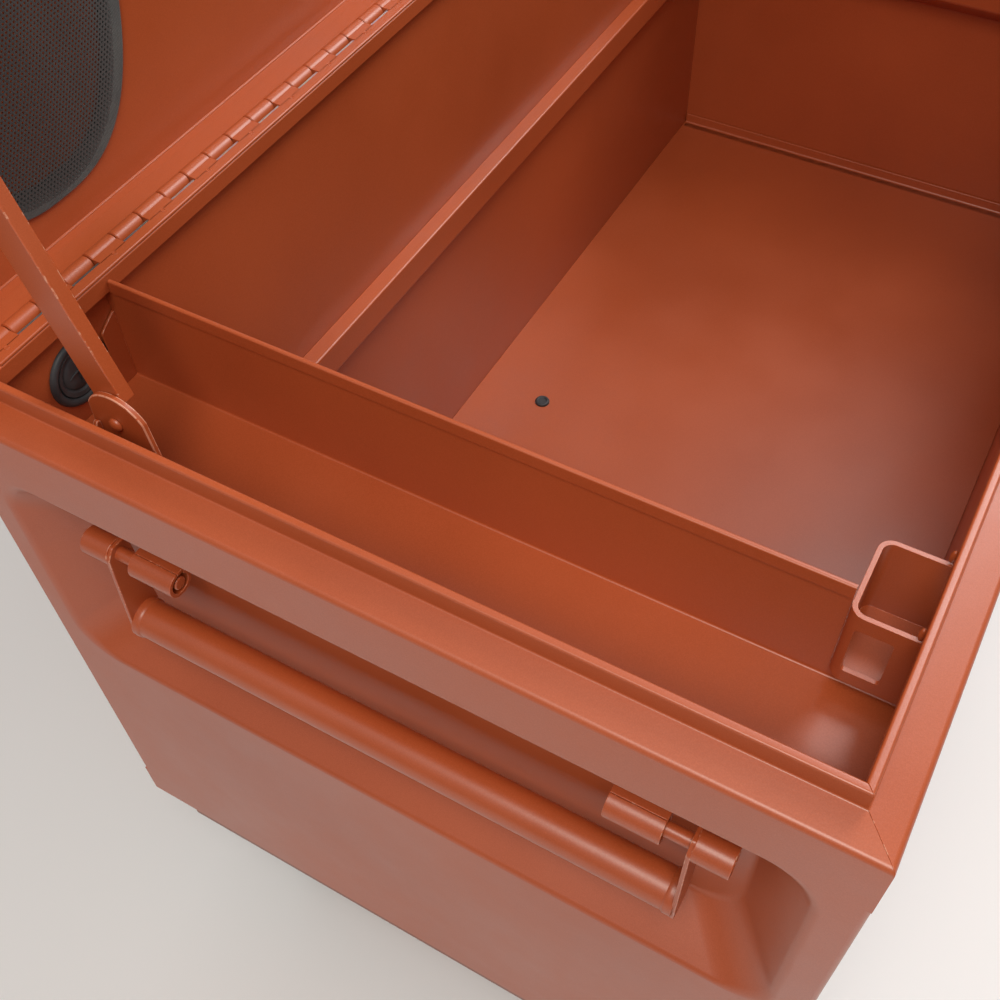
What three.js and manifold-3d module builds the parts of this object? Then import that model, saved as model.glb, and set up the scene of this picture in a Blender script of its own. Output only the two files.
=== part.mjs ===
// A steel rolling tool chest with its lid standing open.
// Millimetres, +Z up, X along the chest, front towards -Y, hinge towards +Y, wheels on Z = 0.
import * as THREE from 'three';
import { mergeVertices } from 'three/addons/utils/BufferGeometryUtils.js';
import Module from 'manifold-3d';

const wasm = await Module();
wasm.setup();

// ---- driving dimensions ----
const CHEST_LENGTH = 1219;          // 48 in over the rim
const CHEST_WIDTH = 610;            // 24 in over the rim
const RIM_HEIGHT = 757;             // top of the rim's lip above the ground
const BODY_DEPTH = 562;             // lip down to the underside of the body
const SHEET = 2;                    // steel sheet
const GAP = 0.3;                    // between neighbouring pieces

const LEDGE = 27.3;                 // lip to outer face, all round
const LIP_THICK = 5.5;
const LIP_DROP = 15.5;              // inner flange of the lip
const BAND_DROP = 70;               // bottom edge of the outer band below the lip
const WALL_IN = 8;                  // inner face of the long walls, outboard of the lip
const FLOOR_DROP = 538;             // lip down to the cargo floor
const SKIRT_DROP = 520;             // where the bottom skirt starts
const POST_WIDTH = 60;              // corner post, wrapped round from the end panel

const HINGE_OUT = 20.5;             // hinge axis outboard of the rear lip
const HINGE_DROP = 4.5;             // hinge axis below the lip's top
const HINGE_RADIUS = 6.5;           // outside of a knuckle
const PIN_RADIUS = 2.5;
const KNUCKLE = 25.4;
const KNUCKLES = 45;
const HINGE_LENGTH = KNUCKLE * KNUCKLES;
const LID_OPEN = 93;                // degrees from closed to the stays' stop
const LID_RISE = 40;                // top of the closed lid above the lip
const LID_SKIRT_END = 17;           // edge of the closed lid's skirt below the lip

const STAY_PIVOT = { inboard: 79.5, drop: 21 };    // lower pivot, from the rear lip's top
const STAY_LID = { reach: 478, rise: 12 };        // upper pivot, from the hinge axis
const STAY_LOWER = 445.5;           // pivot to elbow
const STAY_UPPER = 66.4;            // elbow to lid pivot
const STAY_TILT = 15.52;            // the open stay leans back from upright, degrees

const TRAY = { near: 16.5, far: 107, floorDrop: 98, topDrop: 7 };
const RAIL = { top: 236, bottom: 268, out: 15.5 };
const LOCK = { near: 98, far: 156, reach: 39.5, top: 20, bottom: 84, sheet: 3 };
const GROMMET = { in: 64.6, drop: 58, radius: 26.5, hole: 20 };
const PLUG = { in: 73.7, radius: 8.5, hole: 6 };
const POCKET = { top: 70, bottom: 278, half: 281, corner: 35, depth: 40.3, slope: 38 };
const HANDLE = {
  pivotOut: 11, pivotDrop: 128, roll: 10.5, pin: 5,
  tubeOut: 13, tubeDrop: 203, tube: 14.25, bore: 11.5,
  arm: 209, plate: 3, rollLength: 24, sleeveIn: 157, sleeveOut: 193,
};
const MESH = { centre: 142, half: 112, bottom: 22, corner: 78, mouth: 250, depth: 12 };
const SKID = { width: 110, height: 40, inset: 33, edge: 8, sheet: 3 };
const CASTER = {
  wheel: 63.5, tread: 46, hub: 27, bore: 6.4, axle: 6, trail: 36,
  plate: 5, plateX: 96, plateY: 114, x: 545, y: 190, fork: 4, forkHalf: 29,
};

const HALF_X = CHEST_LENGTH / 2;
const HALF_Y = CHEST_WIDTH / 2;
const LIP_X = HALF_X - LEDGE;
const LIP_Y = HALF_Y - LEDGE;
const WALL_OUT = WALL_IN + SHEET;
const SKIN = LEDGE - SHEET;         // inner face of the end panels' skin
const END_INSIDE = LIP_X + SKIN - GAP;
const HINGE_Y = LIP_Y + HINGE_OUT;
const SEGMENTS = 20;

// ---- finishes ----
const finish = (color, roughness, metalness) => new THREE.MeshStandardMaterial({ color, roughness, metalness });
const COAT = finish(0xaa4f2c, 0.42, 0.3);
const COAT_DARK = finish(0x6e2a18, 0.5, 0.3);
const ZINC = finish(0xb8bcc0, 0.35, 0.9);
const RUBBER = finish(0x1c1d1f, 0.75, 0);
const TYRE = finish(0x2b2c2e, 0.8, 0);
const MESH_CLOTH = finish(0x17181a, 0.9, 0);

// ---- solids ----
function solid(geometry) {
  geometry.deleteAttribute('normal');
  geometry.deleteAttribute('uv');
  const merged = mergeVertices(geometry, 1e-3);
  const index = merged.index.array;
  const kept = [];
  for (let i = 0; i < index.length; i += 3) {
    const [a, b, c] = [index[i], index[i + 1], index[i + 2]];
    if (a !== b && b !== c && c !== a) kept.push(a, b, c);
  }
  return new wasm.Manifold(new wasm.Mesh({
    numProp: 3,
    vertProperties: merged.attributes.position.array,
    triVerts: new Uint32Array(kept),
  }));
}

function box(x0, x1, y0, y1, z0, z1) {
  const geometry = new THREE.BoxGeometry(x1 - x0, y1 - y0, z1 - z0);
  geometry.translate((x0 + x1) / 2, (y0 + y1) / 2, (z0 + z1) / 2);
  return solid(geometry);
}

const shapeOf = (points) => new THREE.Shape(points.map(([a, b]) => new THREE.Vector2(a, b)));
const extruded = (shape, depth) => new THREE.ExtrudeGeometry(shape, { depth, bevelEnabled: false, curveSegments: 4 });

// A [y, z] outline run along X.
function alongX(shape, x0, x1) {
  const geometry = extruded(shape, x1 - x0);
  geometry.applyMatrix4(new THREE.Matrix4().set(0, 0, 1, x0, 1, 0, 0, 0, 0, 1, 0, 0, 0, 0, 0, 1));
  return solid(geometry);
}

// An [x, z] outline run along Y.
function alongY(shape, y0, y1) {
  const geometry = extruded(shape, y1 - y0);
  geometry.applyMatrix4(new THREE.Matrix4().set(1, 0, 0, 0, 0, 0, -1, y1, 0, 1, 0, 0, 0, 0, 0, 1));
  return solid(geometry);
}

// An [x, y] outline run along Z.
function alongZ(shape, z0, z1) {
  const geometry = extruded(shape, z1 - z0);
  geometry.translate(0, 0, z0);
  return solid(geometry);
}

// A [radius, height] profile turned about an axis through a point.
function turned(profile, axis, at = [0, 0, 0], segments = SEGMENTS) {
  const geometry = new THREE.LatheGeometry(profile.map(([r, h]) => new THREE.Vector2(r, h)), segments);
  if (axis === 'x') geometry.rotateZ(-Math.PI / 2);
  if (axis === 'z') geometry.rotateX(Math.PI / 2);
  geometry.translate(...at);
  return solid(geometry);
}

const rod = (radius, length, axis, at, segments) =>
  turned([[0, 0], [radius, 0], [radius, length], [0, length]], axis, at, segments);
const ring = (outer, inner, length, axis, at, segments) =>
  turned([[inner, 0], [outer, 0], [outer, length], [inner, length], [inner, 0]], axis, at, segments);

function roundedRect(halfA, halfB, radius, centre = [0, 0]) {
  const [a, b] = centre;
  const shape = new THREE.Shape();
  shape.moveTo(a - halfA + radius, b - halfB);
  shape.absarc(a + halfA - radius, b - halfB + radius, radius, -Math.PI / 2, 0);
  shape.absarc(a + halfA - radius, b + halfB - radius, radius, 0, Math.PI / 2);
  shape.absarc(a - halfA + radius, b + halfB - radius, radius, Math.PI / 2, Math.PI);
  shape.absarc(a - halfA + radius, b - halfB + radius, radius, Math.PI, Math.PI * 1.5);
  return shape;
}

// A closed skin between two outlines with the same number of points.
function lofted(first, second) {
  const count = first.length;
  const rings = [...first, ...second];
  const caps = THREE.ShapeUtils.triangulateShape(first.map((p) => new THREE.Vector2(p[1], p[2])), []);
  const faces = [];
  for (const [a, b, c] of caps) {
    faces.push(a, b, c);
    faces.push(c + count, b + count, a + count);
  }
  for (let i = 0; i < count; i += 1) {
    const next = (i + 1) % count;
    faces.push(next, i, i + count);
    faces.push(next, i + count, next + count);
  }
  const geometry = new THREE.BufferGeometry();
  geometry.setAttribute('position', new THREE.Float32BufferAttribute(rings.flat(), 3));
  geometry.setIndex(faces);
  const body = solid(geometry);
  if (body.volume() > 0) return body;
  for (let i = 0; i < faces.length; i += 3) [faces[i], faces[i + 1]] = [faces[i + 1], faces[i]];
  geometry.setIndex(faces);
  return solid(geometry);
}

function piece(name, body, material) {
  const { vertProperties, triVerts } = body.getMesh();
  const geometry = new THREE.BufferGeometry();
  geometry.setAttribute('position', new THREE.Float32BufferAttribute(vertProperties, 3));
  geometry.setIndex([...triVerts]);
  geometry.computeVertexNormals();
  const mesh = new THREE.Mesh(geometry, material);
  mesh.name = name;
  return mesh;
}

// The same solid seen in the chest's middle plane X = 0.
function mirrored(body) {
  const { vertProperties, triVerts } = body.getMesh();
  const positions = Float32Array.from(vertProperties);
  for (let i = 0; i < positions.length; i += 3) positions[i] *= -1;
  const faces = Uint32Array.from(triVerts);
  for (let i = 0; i < faces.length; i += 3) [faces[i], faces[i + 1]] = [faces[i + 1], faces[i]];
  return new wasm.Manifold(new wasm.Mesh({ numProp: 3, vertProperties: positions, triVerts: faces }));
}

// Both ends' copies of a solid made at the left end.
function bothEnds(name, body, material) {
  return [piece(`${name}_left`, body, material), piece(`${name}_right`, mirrored(body), material)];
}

// ---- sheet sections: u is outboard of the lip's inner face, z is from the lip's top ----
const RIM = [
  [0, -LIP_DROP], [0, -1.3], [0.4, -0.4], [1.3, 0], [4.2, 0], [5.1, -0.4], [LIP_THICK, -1.3],
  [LIP_THICK, -13.8], [6.2, -14.7], [24.2, -18.7], [26.4, -20], [LEDGE, -22.2],
];
const RIM_UNDER = [[SKIN, -22.9], [24.6, -21.4], [23.6, -20.7], [WALL_OUT, -17.6]];

const frontRim = [
  ...RIM, [LEDGE, -BAND_DROP], [SKIN, -BAND_DROP], ...RIM_UNDER,
  [WALL_OUT, -40], [WALL_IN, -40], [WALL_IN, -LIP_DROP],
];
const longWall = [
  [WALL_IN, -22.6], [WALL_OUT, -22.6], [WALL_OUT, -SKIRT_DROP], [LEDGE, -SKIRT_DROP], [LEDGE, -BODY_DEPTH],
  [SKIN, -BODY_DEPTH], [SKIN, -SKIRT_DROP - SHEET], [WALL_OUT, -SKIRT_DROP - SHEET], [WALL_OUT, -BODY_DEPTH],
  [-22, -BODY_DEPTH], [-22, -BODY_DEPTH + SHEET], [WALL_IN, -BODY_DEPTH + SHEET],
];
const REAR_TOP = -SHEET - GAP;      // the hinge leaf lies on the rear rim
const rearRim = [
  [0, -LIP_DROP], [0, REAR_TOP], [WALL_OUT, REAR_TOP], [WALL_OUT, -40], [WALL_IN, -40],
  [WALL_IN, REAR_TOP - SHEET], [SHEET, REAR_TOP - SHEET], [SHEET, -LIP_DROP],
];
const endSection = [
  ...RIM, [LEDGE, -BODY_DEPTH], [-10, -BODY_DEPTH], [-10, -BODY_DEPTH + SHEET], [SKIN, -BODY_DEPTH + SHEET],
  [SKIN, -22.9], [24.6, -21.4], [23.6, -20.7], [LIP_THICK, -16.4], [4, -LIP_DROP],
];

const towardsFront = (section) => shapeOf(section.map(([u, z]) => [-LIP_Y - u, z]));
const towardsRear = (section) => shapeOf(section.map(([u, z]) => [LIP_Y + u, z]));
const towardsLeft = (section) => shapeOf(section.map(([u, z]) => [-LIP_X - u, z]));

// ---- body panels ----
function frontPanel() {
  const cut = GAP / 2;
  const mitre = alongZ(shapeOf([
    [-LIP_X + cut + 1, -LIP_Y + 1], [LIP_X - cut - 1, -LIP_Y + 1],
    [HALF_X - cut + 1, -HALF_Y - 1], [-HALF_X + cut - 1, -HALF_Y - 1],
  ]), -BAND_DROP, 1);
  const rim = alongX(towardsFront(frontRim), -HALF_X, HALF_X).intersect(mitre);
  const wall = alongX(towardsFront(longWall), -END_INSIDE, END_INSIDE);
  let panel = rim.add(wall);
  for (const side of [-1, 1]) {
    const x = side * (LIP_X - (LOCK.near + LOCK.far) / 2);
    panel = panel.subtract(box(x - 22, x + 22, -HALF_Y - 1, -LIP_Y - WALL_IN + 1, -76, -34));
  }
  return panel;
}

function rearPanel() {
  const rim = alongX(towardsRear(rearRim), -LIP_X + GAP, LIP_X - GAP);
  const wall = alongX(towardsRear(longWall), -END_INSIDE, END_INSIDE);
  const x = -LIP_X + GROMMET.in;
  const hole = rod(GROMMET.hole + GAP, 20, 'y', [x, LIP_Y, -GROMMET.drop]);
  return rim.add(wall).subtract(hole);
}

const pocketOutline = (inset, depth) => {
  const topSlope = inset * 0.75;
  const middle = -(POCKET.top + POCKET.bottom) / 2;
  const shape = roundedRect(POCKET.half - inset, (POCKET.bottom - POCKET.top) / 2 - topSlope, POCKET.corner, [0, middle]);
  return shape.getPoints(5).slice(0, -1).map((p) => [-HALF_X + depth, p.x, p.y]);
};

function leftEndPanel() {
  const cut = GAP / 2;
  const mitre = alongZ(shapeOf([
    [-LIP_X + 1, -LIP_Y + 1 + cut], [-LIP_X + 1, HALF_Y + 1], [-HALF_X - 1, HALF_Y + 1],
    [-HALF_X - 1, -HALF_Y - 1 + cut],
  ]), -BAND_DROP - GAP, 1);
  const section = alongY(towardsLeft(endSection), -HALF_Y, HALF_Y);
  const rim = section.intersect(mitre);
  const skin = section.intersect(box(-HALF_X - 1, 0, -HALF_Y, HALF_Y, -BODY_DEPTH - 1, -BAND_DROP - GAP));
  const flangeEnds = LIP_Y - 22 - GAP;
  let panel = rim.add(skin);
  for (const side of [-1, 1]) {
    const [low, high] = side < 0 ? [-HALF_Y, -flangeEnds] : [flangeEnds, HALF_Y];
    panel = panel.subtract(box(-LIP_X - SKIN, 0, low - 1, high + 1, -BODY_DEPTH - 1, -BODY_DEPTH + SHEET + 1));
    const top = side < 0 ? -BAND_DROP - GAP : -23;
    const face = [side * HALF_Y, side * (HALF_Y - SHEET)].sort((a, b) => a - b);
    const back = [side * HALF_Y, side * (LIP_Y + WALL_OUT + GAP)].sort((a, b) => a - b);
    const bottom = -SKIRT_DROP + GAP;
    panel = panel.add(box(-HALF_X, -HALF_X + POST_WIDTH, ...face, bottom, top));
    panel = panel.add(box(-HALF_X + POST_WIDTH - SHEET, -HALF_X + POST_WIDTH, ...back, bottom, top));
  }
  const opening = lofted(pocketOutline(0, -1), pocketOutline(POCKET.slope, POCKET.depth));
  const shell = lofted(pocketOutline(-SHEET, 0), pocketOutline(POCKET.slope - SHEET, POCKET.depth + SHEET));
  return panel.add(shell).subtract(opening);
}

function floorPan() {
  const edgeY = LIP_Y + WALL_IN - GAP;
  const bottom = -BODY_DEPTH + SHEET + GAP;
  const pan = box(-END_INSIDE, END_INSIDE, -edgeY, edgeY, bottom, -FLOOR_DROP);
  const inset = SHEET;
  const under = box(
    -END_INSIDE + inset, END_INSIDE - inset, -edgeY + inset, edgeY - inset, bottom - 1, -FLOOR_DROP - SHEET,
  );
  const hole = rod(PLUG.radius + GAP, 2 * PLUG.hole, 'z', [0, LIP_Y - PLUG.in, -FLOOR_DROP - PLUG.hole], 16);
  return pan.subtract(under).subtract(hole);
}

function rearRail() {
  const wall = LIP_Y + WALL_IN - GAP;
  const face = wall - RAIL.out;
  const section = shapeOf([
    [wall, -RAIL.top], [face, -RAIL.top], [face, -RAIL.bottom], [wall, -RAIL.bottom],
    [wall, -RAIL.bottom + SHEET], [face + SHEET, -RAIL.bottom + SHEET], [face + SHEET, -RAIL.top - SHEET],
    [wall, -RAIL.top - SHEET],
  ]);
  return alongX(section, -LIP_X, LIP_X);
}

function toolTray() {
  const rear = LIP_Y + WALL_IN - GAP;
  const x0 = -LIP_X + TRAY.near;
  const x1 = -LIP_X + TRAY.far;
  const floor = -TRAY.floorDrop;
  const section = shapeOf([
    [x0, floor - SHEET], [x1 + SHEET, floor - SHEET], [x1 + SHEET, -TRAY.topDrop], [x1 - 1.5, -TRAY.topDrop],
    [x1 - 1.5, -TRAY.topDrop - 10], [x1, -TRAY.topDrop - 10], [x1, floor], [x0 + SHEET, floor],
    [x0 + SHEET, floor + 14], [x0, floor + 14],
  ]);
  const tray = alongY(section, -rear, rear);
  const lockEnd = -LIP_Y + LOCK.reach + GAP;
  const underRim = [-LIP_DROP - GAP, 0];
  return tray
    .subtract(box(-LIP_X + LOCK.near - SHEET, x1 + 3, -rear - 1, lockEnd, -LOCK.bottom - GAP, 0))
    .subtract(box(x0 - 1, x1 + 3, LIP_Y - GAP, rear + 1, ...underRim));
}

// A band bent round the padlock, open at the top, with a plate at the bottom and a window in one cheek.
function padlockBox() {
  const x0 = -LIP_X + LOCK.near;
  const x1 = -LIP_X + LOCK.far;
  const wall = -LIP_Y - WALL_IN + GAP;
  const face = -LIP_Y + LOCK.reach;
  const halfX = (x1 - x0) / 2;
  const depth = (face - wall) / 2 + 20;
  const centre = [(x0 + x1) / 2, face - depth];
  const outer = alongZ(roundedRect(halfX, depth, 9, centre), -LOCK.bottom, -LOCK.top);
  const hollow = alongZ(
    roundedRect(halfX - LOCK.sheet, depth - LOCK.sheet, 6, centre), -LOCK.bottom + LOCK.sheet, -LOCK.top + 1,
  );
  const behindWall = box(x0 - 1, x1 + 1, wall - 100, wall, -LOCK.bottom - 1, 0);
  const window = box(x0 - 1, x0 + 10, -LIP_Y + 11, -LIP_Y + 33, -73, -32);
  return outer.subtract(hollow).subtract(behindWall).subtract(window);
}

// A plate for the stay's lower pivot on a foot that runs back to the end wall.
function stayBracket() {
  const x = -LIP_X + 18;
  const y = LIP_Y - STAY_PIVOT.inboard;
  const z = -STAY_PIVOT.drop;
  const plate = new THREE.Shape();
  plate.moveTo(y - 28, -52);
  plate.lineTo(y + 22, -52);
  plate.absarc(y - 2, z, 24, Math.PI * 0.15, Math.PI * 0.87);
  const wall = -LIP_X - SKIN + GAP;
  return alongX(plate, x, x + 4)
    .add(box(wall, x + 4, y - 28, y + 22, -52, -48))
    .add(box(wall, wall + 4, y - 28, y + 22, -66, -48));
}

const rivetHead = (radius, height) => {
  const dome = new THREE.EllipseCurve(0, 0, radius, height, 0, Math.PI / 2);
  return dome.getPoints(4).map((p) => [Math.max(p.x, 0), p.y]);
};

// A domed rivet whose head stands on the plane x, towards -X.
function rivet(x, y, z) {
  const body = turned([[0, -0.01], ...rivetHead(5, 3.4).map(([r, h]) => [r < 0.01 ? 0 : r, h])], 'x', [0, 0, 0], 16);
  const faces = mirrored(body).getMesh();
  const positions = Float32Array.from(faces.vertProperties);
  for (let i = 0; i < positions.length; i += 3) {
    positions[i] += x;
    positions[i + 1] += y;
    positions[i + 2] += z;
  }
  return new wasm.Manifold(new wasm.Mesh({ numProp: 3, vertProperties: positions, triVerts: faces.triVerts }));
}

function grommet() {
  const at = [-LIP_X + GROMMET.in, LIP_Y + WALL_IN - GAP - 3.5, -GROMMET.drop];
  const { radius, hole } = GROMMET;
  const flange = turned([
    [0, 1.5], [hole - 5, 1.5], [hole - 3, 0], [radius - 2, 0], [radius, 2], [radius, 3.5], [hole, 3.5],
    [hole, 9], [hole - 3, 9], [hole - 3, 3.5], [0, 3.5],
  ], 'y', at, 20);
  return flange;
}

function floorPlug() {
  return turned([
    [0, -8], [PLUG.hole, -8], [PLUG.hole, -1.5], [PLUG.radius, -1.5], [PLUG.radius, 1.4], [PLUG.radius - 1.6, 2.6],
    [0, 3],
  ], 'z', [0, LIP_Y - PLUG.in, -FLOOR_DROP], 16);
}

// ---- hinge ----
const hingeStart = -HINGE_LENGTH / 2;
const knuckleSpans = (first) => {
  const spans = [];
  for (let i = first; i < KNUCKLES; i += 2) {
    const start = hingeStart + i * KNUCKLE;
    spans.push([start + GAP, start + KNUCKLE - GAP]);
  }
  return spans;
};
const BARREL = [LIP_Y + HINGE_OUT, -HINGE_DROP];

function barrelPart(spans) {
  const knuckle = ([x0, x1]) => ring(HINGE_RADIUS, PIN_RADIUS + 1, x1 - x0, 'x', [x0, ...BARREL], 8);
  return spans.map(knuckle);
}

// The box leaf lies on the rear rim and joins every other knuckle.
function boxLeaf() {
  const front = LIP_Y + 0.2;
  let leaf = box(hingeStart, -hingeStart, front, LIP_Y + 12.3, -SHEET, 0);
  for (const [x0, x1] of knuckleSpans(0)) {
    leaf = leaf.add(box(x0, x1, LIP_Y + 12, BARREL[0] - PIN_RADIUS - 1.5, -SHEET, 0));
  }
  for (const part of barrelPart(knuckleSpans(0))) leaf = leaf.add(part);
  return leaf;
}

// The lid leaf, modelled closed: it stands on its knuckles inside the lid's rear skirt.
function lidLeaf() {
  const inner = HALF_Y - SHEET - GAP - SHEET;
  let leaf = box(hingeStart, -hingeStart, inner, inner + SHEET, 3.6, 26);
  for (const [x0, x1] of knuckleSpans(1)) {
    leaf = leaf.add(box(x0, x1, inner, inner + SHEET, -HINGE_DROP + 3, 4));
  }
  for (const part of barrelPart(knuckleSpans(1))) leaf = leaf.add(part);
  return leaf;
}

// ---- lid, modelled closed ----
function lidShell() {
  const outer = alongZ(roundedRect(HALF_X, HALF_Y, 4), -LID_SKIRT_END, LID_RISE);
  const inner = alongZ(roundedRect(HALF_X - SHEET, HALF_Y - SHEET, 2), -LID_SKIRT_END - 1, LID_RISE - SHEET);
  const behind = box(-HALF_X + SHEET, HALF_X - SHEET, HALF_Y - SHEET - 1, HALF_Y + 1, -LID_SKIRT_END - 1, 3.6);
  return outer.subtract(inner).subtract(behind);
}

const UNDER_LID = LID_RISE - SHEET - GAP;

// A hat section along the lid.
function lidStiffener() {
  const y = HINGE_Y - 380;
  const top = UNDER_LID;
  return alongX(shapeOf([
    [y - 38, top], [y - 38, top - SHEET], [y - 22, top - SHEET], [y - 14, top - 18], [y + 14, top - 18],
    [y + 22, top - SHEET], [y + 38, top - SHEET], [y + 38, top], [y + 20.5, top], [y + 12.5, top - 16],
    [y - 12.5, top - 16], [y - 20.5, top],
  ]), -520, 520);
}

// A hasp tongue that drops into the padlock box when the lid closes.
function hasp() {
  const x = -LIP_X + (LOCK.near + LOCK.far) / 2;
  const y = -LIP_Y + 18;
  const tongue = box(x - 18, x + 18, y - 2.5, y + 2.5, -62, UNDER_LID);
  const foot = box(x - 18, x + 18, y - 2.5, y + 32, UNDER_LID - 4, UNDER_LID);
  const eye = rod(6.5, 20, 'y', [x, y - 10, -46], 16);
  return tongue.add(foot).subtract(eye);
}

function stayTab() {
  const x = -LIP_X + 13.7;
  const y = HINGE_Y - STAY_LID.reach;
  const z = -HINGE_DROP + STAY_LID.rise;
  const plate = new THREE.Shape();
  plate.moveTo(y + 16, UNDER_LID);
  plate.lineTo(y - 16, UNDER_LID);
  plate.lineTo(y - 16, z);
  plate.absarc(y, z, 16, Math.PI, Math.PI * 2);
  return alongX(plate, x, x + 4).add(box(x - 22, x + 4, y - 16, y + 16, UNDER_LID - 4, UNDER_LID));
}

// A flat mesh pocket with a sagging bottom, near the hinge at the left end of the lid.
function meshPocket() {
  const { centre, half, bottom, corner, mouth } = MESH;
  const x = -LIP_X + centre;
  const outline = new THREE.Shape();
  outline.moveTo(x - half, HINGE_Y - mouth);
  outline.lineTo(x + half, HINGE_Y - mouth);
  outline.lineTo(x + half, HINGE_Y - corner);
  outline.quadraticCurveTo(x, HINGE_Y - 2 * bottom + corner, x - half, HINGE_Y - corner);
  return alongZ(outline, UNDER_LID - MESH.depth, UNDER_LID);
}

// ---- stays ----
function stayBar() {
  const half = 12.5;
  const end = 14;
  const outline = new THREE.Shape();
  outline.moveTo(-half, 0);
  outline.absarc(0, 0, half, Math.PI, Math.PI * 2);
  outline.lineTo(half, STAY_LOWER);
  outline.absarc(0, STAY_LOWER, half, 0, Math.PI);
  const x = -LIP_X + 22.3;
  const web = alongX(outline, x, x + 2.5);
  const flanges = box(x, x + 10, -half, half, end, STAY_LOWER - end)
    .subtract(box(x - 1, x + 11, -half + 2.5, half - 2.5, end - 1, STAY_LOWER - end + 1));
  return web.add(flanges);
}

function stayLink() {
  const half = 11.5;
  const outline = new THREE.Shape();
  outline.moveTo(-half, 0);
  outline.absarc(0, 0, half, Math.PI, Math.PI * 2);
  outline.lineTo(half, STAY_UPPER);
  outline.absarc(0, STAY_UPPER, half, 0, Math.PI);
  return alongX(outline, -LIP_X + 18, -LIP_X + 22);
}

// ---- drop handles, modelled at the left end ----
const pivotX = -LIP_X - HANDLE.pivotOut;
const tubeX = -LIP_X - HANDLE.tubeOut;

function handleTube() {
  const length = 2 * (HANDLE.arm - GAP);
  return ring(HANDLE.tube, HANDLE.bore, length, 'y', [tubeX, -length / 2, -HANDLE.tubeDrop]);
}

function handleArm(side) {
  const outline = shapeOf([
    [pivotX - 5, -HANDLE.pivotDrop + HANDLE.roll - 2], [pivotX - HANDLE.roll, -HANDLE.pivotDrop],
    [-LIP_X - 26, -HANDLE.tubeDrop - 8], [-LIP_X - 26, -HANDLE.tubeDrop - 15],
    [tubeX + 8, -HANDLE.tubeDrop - 17], [tubeX + 15, -HANDLE.tubeDrop - 6], [pivotX + HANDLE.roll - 1, -HANDLE.pivotDrop],
    [pivotX + 6, -HANDLE.pivotDrop + HANDLE.roll - 2],
  ]);
  const inner = side < 0 ? -HANDLE.arm - HANDLE.plate : HANDLE.arm;
  const rollStart = side < 0 ? -HANDLE.arm - HANDLE.plate - HANDLE.rollLength + 1 : HANDLE.arm + HANDLE.plate - 1;
  const start = [pivotX, rollStart, -HANDLE.pivotDrop];
  const bore = rod(HANDLE.pin + GAP, 60, 'y', [pivotX, inner - 30, -HANDLE.pivotDrop], 16);
  return alongY(outline, inner, inner + HANDLE.plate)
    .add(rod(HANDLE.roll, HANDLE.rollLength, 'y', start, 20))
    .subtract(bore);
}

// A curled sleeve fixed to the back of the pocket, with the pivot pin in it.
function handleSleeve(side) {
  const { sleeveIn, sleeveOut, roll, pin } = HANDLE;
  const back = -HALF_X + POCKET.depth - GAP;
  const y0 = side < 0 ? -sleeveOut : sleeveIn;
  const length = sleeveOut - sleeveIn;
  const curl = ring(roll, roll - 3, length, 'y', [pivotX, y0, -HANDLE.pivotDrop], 20);
  const tail = box(pivotX, back, y0, y0 + length, -HANDLE.pivotDrop + roll - 3, -HANDLE.pivotDrop + roll);
  const foot = box(back - 3, back, y0, y0 + length, -HANDLE.pivotDrop - 26, -HANDLE.pivotDrop + roll);
  const pinStart = side < 0 ? -HANDLE.arm - HANDLE.rollLength : sleeveIn + 8;
  const pinEnd = side < 0 ? -sleeveIn - 8 : HANDLE.arm + HANDLE.rollLength;
  const shaft = rod(pin, pinEnd - pinStart, 'y', [pivotX, pinStart, -HANDLE.pivotDrop], 16);
  const web = box(
    pivotX - 1.5, pivotX + 1.5, y0 + 12, y0 + length - 4, -HANDLE.pivotDrop, -HANDLE.pivotDrop + roll - 1,
  );
  return curl.add(tail).add(foot).add(shaft).add(web);
}

// ---- running gear, Z from the ground ----
function skid() {
  const top = RIM_HEIGHT - BODY_DEPTH - GAP;
  const x0 = -HALF_X + SKID.edge;
  const halfY = HALF_Y - SKID.inset;
  const outer = box(x0, x0 + SKID.width, -halfY, halfY, top - SKID.height, top);
  const { sheet } = SKID;
  const hollow = box(x0 + sheet, x0 + SKID.width - sheet, -halfY - 1, halfY + 1, top - SKID.height + sheet, top + 1);
  return outer.subtract(hollow);
}

const plateTop = RIM_HEIGHT - BODY_DEPTH - SKID.height - 2 * GAP;

function casterPlate() {
  const { plateX, plateY, plate } = CASTER;
  const flat = box(-plateX / 2, plateX / 2, -plateY / 2, plateY / 2, plateTop - plate, plateTop);
  const race = turned([[0, -12], [27, -12], [31, -8], [31, 0.5], [0, 0.5]], 'z', [0, 0, plateTop - plate], 16);
  let body = flat.add(race);
  for (const x of [-1, 1]) {
    for (const y of [-1, 1]) {
      body = body.subtract(rod(5, 20, 'z', [x * (plateX / 2 - 12), y * (plateY / 2 - 14), plateTop - 12], 8));
    }
  }
  return body;
}

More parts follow.
